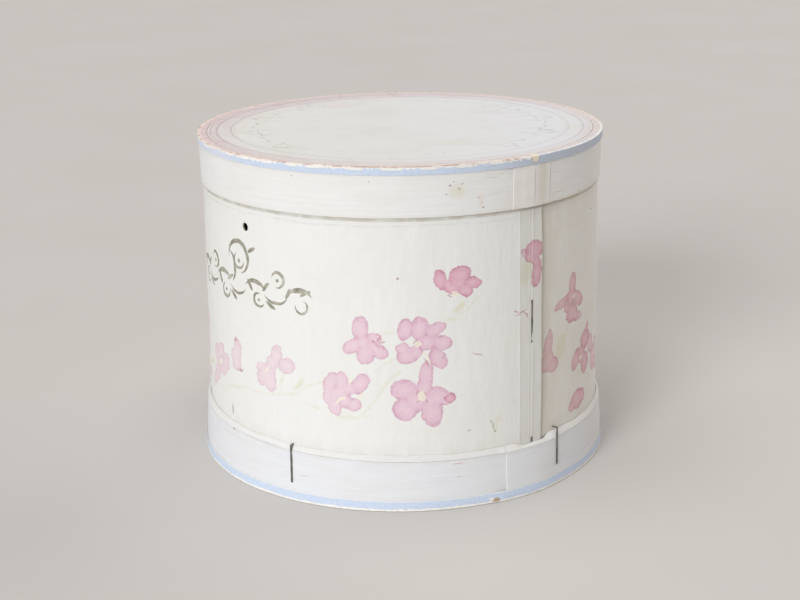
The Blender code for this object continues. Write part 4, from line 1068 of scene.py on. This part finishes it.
def hoop_lip_outer(deg, v):
    """v runs from the hoop's upper edge, 0, up the slope to the wall, LIP."""
    t = v / LIP
    low = hoop_top(deg) - 0.22 * abs(grain(deg, 0, 5, 4.0)) - 0.12 * abs(grain(deg, 0, 6, 1.3)) + 0.22
    # it is lower across the wall's lap, where a staple shows over it
    dip = ease((deg - 78.0) / 4.0) * (1.0 - ease((deg - 88.5) / 4.0))
    high = hoop_top(deg) + 4.0 - 3.0 * dip + 0.55 * grain(deg, 0, 31, 14.0) + 0.20 * grain(deg, 0, 32, 3.0)
    z = low + (high - low) * t
    r0 = hoop_outside(deg, low) + hoop_relief(deg, HOOP_TOP_Z) + 0.10 + (HOOP_BOARD + GAP) * ease((deg - HOOP_OUTER_END - 357.6) / 2.2)
    r1 = lip_wall(deg, high) + 0.34 + 0.12 * max(0.0, grain(deg, 0, 33, 5.0))
    swell = 0.16 * math.sin(math.pi * t) + 0.08 * grain(deg, v, 34, 4.0) * math.sin(math.pi * t)
    return r0 + (r1 - r0) * t + swell * 0.8, z + swell * 0.6


LIP = 5.4
cols = stations(HOOP_OUTER_END + 0.05, HOOP_OUTER_END + 359.95, 1.0, fine=((86.0, 92.0, 0.4), (426.0, 434.8, 0.5)), scale=1 / deg_mm)
rows = stations(0.0, LIP, 0.9, fine=((0.0, 0.8, 0.3), (LIP - 0.6, LIP, 0.3)), round_off=0.06)
lip = sheet("hoop_lip", cols, rows, hoop_lip_outer, PAPER * 0.8, None)
# the lip's paper is tinted darker than the other white paper: painted shade
dress(lip, "box_body", ["base_hoop"], [white_rolled("white_lip_paper", 31.0, -20.0, 4.6, (), tint=(0.875, 0.872, 0.875, 1.0)), edge_paper, edge_paper])

base = disc("tray_board", BASE_DISC_R, BASE_DISC_Z0, BASE_DISC_Z1, [2, 6, 12, 20, 30, 42, 56, 70, 85, 100, 115, 128, 140, 148], relief=lambda x, y: 0.0)
dress(base, "box_body", ["base_disc"], [grey_board, grey_board, edge_board])


def base_strip(deg, v):
    """v runs from 0 at the strip's hidden edge under the box, out to the corner, and up the side."""
    over = (HOOP_BOARD + GAP) * ease((deg - HOOP_OUTER_END - 354.0) / 5.8)
    corner = hoop_outside(deg, 0.0) + over + GAP + PAPER
    inner = BASE_BINDING_R + 0.5 * grain(deg, 0, 12, 9.0) + 0.3 * grain(deg, 0, 13, 2.5)
    top = BASE_BINDING_Z - 0.30 * abs(grain(deg, 0, 14, 7.0)) - 0.25 * abs(grain(deg, 0, 15, 1.8)) - 0.05
    under = 8.0
    bend = 0.45
    if v < under:
        return inner + (corner - bend - inner) * v / under, 0.0
    t = v - under
    arc = bend * math.pi / 2
    if t < arc:
        a = t / bend
        return corner - bend + bend * math.sin(a), bend * (1 - math.cos(a))
    z = bend + (t - arc) / (BASE_BINDING_Z - bend) * (top - bend)
    return hoop_outside(deg, z) + over + GAP + PAPER, z


side_len = 8.0 + 0.45 * math.pi / 2 + BASE_BINDING_Z - 0.45
cols = stations(HOOP_OUTER_END + 0.01, HOOP_OUTER_END + 359.99, 0.8, fine=((74.9, 77.0, 0.4), (86.0, 92.0, 0.3)), round_off=0.05, scale=1 / deg_mm)
rows = stations(0.0, side_len, 0.9, fine=((7.6, 9.1, 0.13), (side_len - 2.3, side_len, 0.45)), round_off=0.05)


def base_strip_relief(deg, v):
    # the upper edge has let go of the hoop here and there, and the underside stays flat
    loose = ease((v - 10.5) / 3.0) * max(0.0, grain(deg, 0, 17, 12.0)) * 0.16
    return min(loose - 0.02 - 0.05 * abs(grain(deg, v, 16, 3.0)) * ease((v - 8.7) / 0.8), 0.0 if v < 9.5 else 0.12)


base_edge = sheet("tray_edging", cols, rows, base_strip, PAPER, base_strip_relief)
dress(base_edge, "box_body", ["base_edge_binding"], [blue_strip("blue_edge_paper", False), edge_paper, edge_paper])

# ---- staples
for name, (z0, z1) in SEAM_STAPLES.items():
    crown = lambda z: wall_cone(z) + SEAM_PROUD - WIRE_T / 2
    inner = lambda z: wall_cone(z) - (BOARD + GAP) - BOARD - 0.05 - GAP * 0.5 - WIRE_T / 2
    path = [(inner(z0), z0 + CLINCH), (inner(z0) - 0.1, z0 + WIRE_T / 2), (crown(z0), z0 + WIRE_T / 2), (crown((z0 + z1) / 2) + 0.04, (z0 + z1) / 2), (crown(z1), z1 - WIRE_T / 2), (inner(z1) - 0.1, z1 - WIRE_T / 2), (inner(z1), z1 - CLINCH)]
    dress(wire(name + "_wire", path, SEAM_STAPLE_DEG, 0.3), "box_body", [name], [steel])
for name, (deg, z0, z1, tilt) in HOOP_STAPLES.items():
    d_out = deg if deg > HOOP_OUTER_END else deg + 360.0
    d_in = deg if deg > WALL_UNDER_END else deg + 360.0
    crown = lambda z: hoop_outside(d_out, z) + GAP * 0.35 + WIRE_T / 2
    inner = lambda z: wall_outside(d_in, z) - BOARD - 0.05 - GAP * 0.5 - WIRE_T / 2
    path = [(inner(z0), z0 + CLINCH), (inner(z0) - 0.1, z0 + WIRE_T / 2), (crown(z0), z0 + WIRE_T / 2), (crown((z0 + z1) / 2), (z0 + z1) / 2), (crown(z1), z1 - WIRE_T / 2), (inner(z1) - 0.1, z1 - WIRE_T / 2), (inner(z1), z1 - CLINCH)]
    dress(wire(name + "_wire", path, deg, tilt), "box_body", [name], [steel])

# ---- the lid
def rim_outer(deg, z):
    low = ease((LID_EDGE_Z + 4 - z) / 4)
    cut = 0.30 * abs(grain(deg, 0, 20, 6.0)) + 0.18 * abs(grain(deg, 0, 21, 1.5))
    z = z + cut * low
    return rim_outside(deg, z), z


def rim_relief(deg, z):
    d = 0.07 * grain(deg, z, 22, 24.0) + 0.05 * grain(deg, z, 23, 8.0)
    for a, k in ((77.4 + 7.0, 0.10), (77.4 + 12.8, 0.08), (437.4 + 3.0, 0.05)):
        d += k * bell((deg - a) * 2.59, 1.1)
    # frayed: the lower edge stands off a little past the lap
    d += 0.16 * ease((LID_EDGE_Z + 3 - z) / 3) * (ease((deg - 84) / 2) * ease((112 - deg) / 4)) * abs(grain(deg, 0, 24, 3.0))
    return max(d, -0.08)


cols = stations(RIM_OUTER_END, RIM_UNDER_END + 360.0, 1.0, fine=((77.4, 94.0, 0.35),), scale=1 / deg_mm, round_off=0.14)
rows = stations(LID_EDGE_Z, RIM_Z1, 2.6, fine=((LID_EDGE_Z, LID_EDGE_Z + 4.0, 0.8),), round_off=0.14)
U = lambda photo_deg, turn=360.0: math.radians(photo_deg + 47.2 + turn) * R_UNROLL
rim_marks_and_painted_lap_light = [
    (U(12.6), 229.0, 1.3, 0.7, 20, lin(140, 112, 84), 0.75), (U(13.6), 231.5, 0.7, 0.5, 0, lin(150, 120, 92), 0.7), (U(15.0), 226.6, 1.5, 0.9, -20, lin(134, 120, 84), 0.7), (U(15.8), 229.6, 0.9, 0.6, 40, lin(150, 96, 76), 0.6), (U(11.6), 223.2, 1.1, 0.5, 0, lin(150, 126, 96), 0.6),
    (U(14.6), 224.5, 7.0, 5.4, 10, lin(222, 216, 190), 0.42), (U(21.0), 217.0, 2.4, 5.0, 5, lin(228, 206, 194), 0.38), (U(21.6), 212.4, 0.9, 0.6, 0, lin(150, 88, 72), 0.7), (U(20.2), 219.4, 0.7, 0.6, 0, lin(160, 100, 84), 0.6), (U(24.0), 232.0, 5.0, 0.4, 0, lin(196, 186, 160), 0.5),
    (U(-29.0), 234.0, 1.0, 0.5, 10, lin(150, 136, 116), 0.5), (U(-8.0), 233.0, 0.7, 0.5, 10, lin(140, 126, 104), 0.5),
    # painted shade and highlight across the rim's lap: dark lines at its under end and a crease, a duller band between
    # them, and a lighter band on the lap
    (U(37.2, 0.0), 224.0, 0.6, 17.0, 0, lin(184, 174, 154), 0.6), (U(43.0, 0.0), 224.0, 0.5, 17.0, 0, lin(172, 160, 138), 0.6), (U(39.8, 0.0), 224.0, 5.4, 22.0, 0, lin(218, 210, 194), 0.5), (U(33.5, 0.0), 224.0, 2.8, 20.0, 0, lin(246, 244, 238), 0.5),
    (U(47.0, 0.0), 214.0, 8.0, 0.35, 2, lin(190, 178, 152), 0.5), (U(46.0, 0.0), 228.0, 6.0, 0.35, -1, lin(190, 178, 152), 0.45), (U(120.0, 0.0), 220.0, 2.0, 1.2, 20, lin(160, 136, 104), 0.6), (U(200.0, 0.0), 226.0, 1.6, 0.9, 20, lin(150, 126, 96), 0.6), (U(230.0, 0.0), 216.0, 3.0, 2.0, 20, lin(216, 200, 168), 0.6),
]
rim = sheet("lid_rim_sheet", cols, rows, rim_outer, RIM_BOARD, rim_relief)
dress(rim, "lid", ["lid_rim"], [white_rolled("white_rim_board", 23.0, 208.0, 239.0, rim_marks_and_painted_lap_light), inside_white, edge_white])

lid_board = disc("lid_board", LID_DISC_R, LID_DISC_Z0, LID_DISC_Z1, [2, 6, 12, 20, 30, 42, 56, 70, 85, 100, 115, 128, 138, 144])
dress(lid_board, "lid", ["lid_disc"], [lid_grey_board, inside_white, edge_board])


def top_relief(x, y):
    r = math.hypot(x, y)
    a = noise.noise(Vector((x / 60.0, y / 60.0, 5.0))) * 0.12 + noise.noise(Vector((x / 17.0, y / 17.0, 9.0))) * 0.05
    return min(0.0, a * ease((140 - r) / 30) - 0.04)


lid_paper = disc("lid_print", LID_PAPER_R, HEIGHT - PAPER, HEIGHT, [1.5, 4, 8, 13, 19, 26, 34, 42, 50, 58, 66, 74, 82, 90, 98, 105, 112, 118, 124, 129, 133, 136, 139, 141], relief=top_relief, edge=lambda d: 0.22 * abs(grain(d, 0, 30, 4.0)) + 0.1 * abs(grain(d, 0, 31, 1.2)))
dress(lid_paper, "lid", ["lid_top_paper"], [printed_lid(), edge_paper, edge_paper])


def lid_strip(deg, v):
    """v is the height on the side, then carries on over the corner and inwards on top."""
    bend = 0.5
    start = LID_BINDING_Z + 0.28 * abs(grain(deg, 0, 33, 8.0)) + 0.2 * abs(grain(deg, 0, 34, 1.8)) + 0.04
    turn_z = HEIGHT - bend
    arc = bend * math.pi / 2
    over = (RIM_BOARD + GAP) * ease((deg - RIM_OUTER_END - 354.0) / 5.8)
    corner = rim_outside(deg, HEIGHT) + over + GAP + PAPER
    if v < turn_z:
        z = start + (v - LID_BINDING_Z) / (turn_z - LID_BINDING_Z) * (turn_z - start)
        return rim_outside(deg, z) + over + GAP + PAPER, z
    t = v - turn_z
    if t < arc:
        a = t / bend
        return corner - bend + bend * math.cos(a), turn_z + bend * math.sin(a)
    inner = BINDING_TOP_R + 0.03 + 0.16 * abs(grain(deg, 0, 35, 5.0))
    k = (t - arc) / 6.0
    return (corner - bend) + (inner - (corner - bend)) * k, HEIGHT


top_v = HEIGHT - 0.5 + 0.5 * math.pi / 2
cols = stations(RIM_OUTER_END + 0.01, RIM_OUTER_END + 359.99, 0.8, fine=((77.4, 90.0, 0.4), (375.0, 437.4, 0.5)), round_off=0.05, scale=1 / deg_mm)
rows = stations(LID_BINDING_Z, top_v + 6.0, 0.9, fine=((LID_BINDING_Z, LID_BINDING_Z + 1.0, 0.4), (HEIGHT - 1.6, top_v + 0.4, 0.13)), round_off=0.05)


def lid_strip_relief(deg, v):
    front = 1.0 - ease((deg - 81.0) / 4.0) * (1.0 - ease((deg - 120.0) / 30.0))
    worn = (0.30 * abs(grain(deg, 0, 36, 2.2)) + 0.22 * abs(grain(deg, 0, 39, 0.9))) * front * ease((v - HEIGHT + 2.4) / 1.6) + 0.05 * abs(grain(deg, v, 37, 5.0))
    loose = 0.14 * max(0.0, grain(deg, 0, 38, 11.0)) * ease((LID_BINDING_Z + 1.8 - v) / 1.8)
    return loose - worn if v < HEIGHT - 1.0 else -worn


lid_edge = sheet("lid_edging", cols, rows, lid_strip, PAPER, lid_strip_relief)
dress(lid_edge, "lid", ["lid_edge_binding"], [blue_strip("blue_lid_edge_paper", True), edge_paper, edge_paper])


# ---- small torn bits of paper that cling to the edges
def scrap(name, body, mat, surface, deg0, v0, half_u, half_v, lift, seed, thick=0.16, tilt=0.0, stand=0.03):
    """A torn scrap on a surface(deg, v) -> (radius, height): ragged outline, stuck down in the middle, its rim lifted."""
    n = 15
    places = np.linspace(-1.0, 1.0, n)
    pts = np.zeros((2, n, n, 3))
    ct, st = math.cos(math.radians(tilt)), math.sin(math.radians(tilt))
    for i, s0 in enumerate(places):
        for j, t0 in enumerate(places):
            x, y = s0 * math.sqrt(1 - t0 * t0 / 2), t0 * math.sqrt(1 - s0 * s0 / 2)
            rho, ang = math.hypot(x, y), math.atan2(y, x)
            k = 1.0 + (0.34 * noise.noise(Vector((math.cos(ang) * 1.7, math.sin(ang) * 1.7, seed))) + 0.20 * noise.noise(Vector((math.cos(ang) * 5.0, math.sin(ang) * 5.0, seed + 3.0)))) * rho
            du, dv = x * k * half_u, y * k * half_v
            du, dv = du * ct - dv * st, du * st + dv * ct
            deg, v = deg0 + du / (math.radians(1) * R_UNROLL), v0 + dv
            r, z = surface(deg, v)
            r2, z2 = surface(deg, v + 0.05)
            t = math.hypot(r2 - r, z2 - z)
            nrm = ((z2 - z) / t, -(r2 - r) / t)
            up = stand + lift * rho ** 3 * (0.6 + 0.8 * noise.noise(Vector((x * 1.6, y * 1.6, seed + 9.0))) ** 2 * 3.0)
            leaf = thick * (1.0 - 0.55 * rho ** 2)
            for side, off in ((0, up + leaf), (1, up)):
                pts[side, i, j] = on_axis(r + nrm[0] * off, deg, z + nrm[1] * off)
    at = lambda side, i, j: side * n * n + i * n + j
    faces = []
    for i in range(n - 1):
        for j in range(n - 1):
            faces.append([at(0, i, j), at(0, i + 1, j), at(0, i + 1, j + 1), at(0, i, j + 1)])
            faces.append([at(1, i, j + 1), at(1, i + 1, j + 1), at(1, i + 1, j), at(1, i, j)])
    ring = [(i, 0) for i in range(n - 1)] + [(n - 1, j) for j in range(n - 1)] + [(i, n - 1) for i in range(n - 1, 0, -1)] + [(0, j) for j in range(n - 1, 0, -1)]
    for (i, j), (k, m) in zip(ring, ring[1:] + ring[:1]):
        faces.append([at(0, k, m), at(0, i, j), at(1, i, j), at(1, k, m)])
    o = build(name, pts.reshape(-1, 3), faces, [0] * len(faces), [(0.0, 0.0)] * sum(len(f) for f in faces), sharp=60.0)
    o.data.materials.append(mat)
    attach(o, body)
    return o


cream_scrap = torn_paper("torn_cream_paper", lin(240, 231, 214), lin(226, 214, 194), lin(206, 186, 156))
white_scrap = torn_paper("torn_white_paper", lin(248, 247, 245), lin(240, 238, 234), lin(230, 224, 214))
brown_scrap = torn_paper("torn_board_fibre", lin(196, 172, 146), lin(178, 152, 124), lin(150, 122, 96))
turn_v = HEIGHT - 0.5
in_front = lambda deg, v: lid_strip(deg + 360.0 if deg < RIM_OUTER_END else deg, v)
# the lid strip's torn end, curled over the corner beside the lap
scrap("strip_end_tatter", "lid", cream_scrap, in_front, 84.0, turn_v + 0.8, 3.5, 3.9, 0.40, 3.0, thick=0.20)
scrap("strip_end_sliver", "lid", white_scrap, in_front, 81.9, turn_v - 0.6, 2.0, 1.2, 0.25, 5.0)
# white tatters along the rubbed corner: (angle, half length, half width, how far down)
for k, (d, hu, hv, down) in enumerate(((-4.0, 5.5, 1.1, 1.1), (2.5, 7.0, 1.0, 1.0), (10.5, 4.4, 1.0, 1.4), (18.5, 5.0, 1.1, 1.2), (25.5, 8.6, 1.1, 1.0), (36.0, 5.2, 1.0, 1.3), (45.0, 7.0, 0.9, 1.5), (54.5, 6.0, 1.1, 1.2), (63.5, 8.0, 1.1, 1.1), (72.5, 6.0, 1.0, 1.1), (-17.0, 6.0, 1.0, 1.1), (-34.0, 4.0, 0.8, 1.1), (-60.0, 7.0, 1.0, 0.9), (-96.0, 5.0, 0.9, 1.0), (-150.0, 6.0, 0.9, 1.0), (170.0, 5.0, 0.9, 1.0))):
    scrap("corner_tatter_%02d" % (k + 1), "lid", white_scrap, in_front, d, turn_v - down + 0.3, hu, hv, 0.16, 11.0 + 3.1 * k, thick=0.12, tilt=1.5 * math.sin(k * 2.1))
# the rim's frayed lower edge beside the lap
rim_low = lambda deg, v: (rim_outside(deg, v), v)
for k, (d, hu, hv, dz) in enumerate(((91.0, 2.6, 0.55, 0.5), (95.0, 3.4, 0.5, 0.45), (99.5, 2.4, 0.45, 0.55), (104.5, 2.6, 0.8, 0.5))):
    scrap("rim_fray_%d" % (k + 1), "lid", cream_scrap, rim_low, d, LID_EDGE_Z + dz, hu, hv, 0.30, 41.0 + 2.7 * k, thick=0.14)
# a torn bit at the foot, and paper pushed up where a staple went in
foot = lambda deg, v: base_strip(deg, v)
scrap("foot_tatter", "box_body", brown_scrap, foot, 71.6 + 360.0, 10.6, 2.4, 1.5, 0.25, 61.0)
scrap("foot_tatter_white", "box_body", white_scrap, foot, 70.2 + 360.0, 11.6, 1.9, 1.1, 0.30, 64.0)
hoop_face = lambda deg, v: (hoop_outside(deg, v), v)
scrap("staple_burr", "box_body", white_scrap, hoop_face, 92.1, 35.9, 0.9, 1.3, 0.35, 67.0, tilt=20.0)
scrap("staple_burr_left", "box_body", white_scrap, hoop_face, 376.3, 35.2, 0.8, 0.8, 0.25, 69.0)

# ============================================================================================
# Floor, light and camera
# ============================================================================================
TURN = Matrix.Rotation(math.radians(47.2), 4, "Z")

bm = bmesh.new()
bmesh.ops.create_grid(bm, x_segments=24, y_segments=24, size=4.0)
floor_mesh = bpy.data.meshes.new("floor")
bm.to_mesh(floor_mesh)
bm.free()
floor = bpy.data.objects.new("floor", floor_mesh)
floor.location = (0.0, 0.0, -0.0002)
bpy.context.scene.collection.objects.link(floor)
f = Finish("floor_pale", 0.85, specular=0.2)
p = f.place()
f.colour(f.mix(f.noise(p, 0.004, 3.0, 0.5), lin(196, 192, 188), lin(203, 199, 196)))
floor.data.materials.append(f.m)

world = bpy.data.worlds.new("studio")
bpy.context.scene.world = world
world.use_nodes = True
bg = world.node_tree.nodes["Background"]
bg.inputs[0].default_value = (1.0, 0.93, 0.83, 1.0)
bg.inputs[1].default_value = 0.12


def studio_light(name, azimuth, elevation, spread, strength, colour):
    """A broad soft light from far away. Azimuth 0 is behind the camera, and 90 is at its right."""
    d = bpy.data.lights.new(name, "SUN")
    d.angle = math.radians(spread)
    d.energy = strength
    d.color = colour
    o = bpy.data.objects.new(name, d)
    bpy.context.scene.collection.objects.link(o)
    a, e = math.radians(azimuth), math.radians(elevation)
    way = TURN.to_3x3() @ Vector((math.sin(a) * math.cos(e), -math.cos(a) * math.cos(e), math.sin(e)))
    o.location = way * 3.0
    o.rotation_mode = "QUATERNION"
    o.rotation_quaternion = way.to_track_quat("Z", "Y")
    return o


studio_light("key", -29.0, 22.0, 24.0, 2.00, (0.98, 0.992, 1.0))
studio_light("top", -60.0, 80.0, 60.0, 1.76, (1.0, 1.0, 1.0))
studio_light("back", 124.0, 20.0, 60.0, 1.14, (1.0, 0.95, 0.895))

cam = bpy.data.cameras.new("camera")
cam.sensor_width = 36.0
cam.lens = 1505.13 / 800.0 * 36.0
cam.clip_start, cam.clip_end = 0.01, 50.0
camera = bpy.data.objects.new("camera", cam)
bpy.context.scene.collection.objects.link(camera)
pitch, yaw, roll = math.radians(17.115), math.radians(0.0844), math.radians(-0.816)
around = Matrix.Rotation(yaw, 3, "Z")
fwd = around @ Vector((0.0, math.cos(pitch), -math.sin(pitch)))
right = around @ Vector((1.0, 0.0, 0.0))
up = right.cross(fwd)
right, up = right * math.cos(roll) + up * math.sin(roll), -right * math.sin(roll) + up * math.cos(roll)
m = Matrix((right, up, -fwd)).transposed().to_4x4()
m.translation = Vector((0.0, -1.1103, 0.44818))
camera.matrix_world = TURN @ m
bpy.context.scene.camera = camera

scene = bpy.context.scene
scene.view_settings.view_transform = "Standard"
scene.view_settings.look = "None"
scene.view_settings.exposure = 0.0
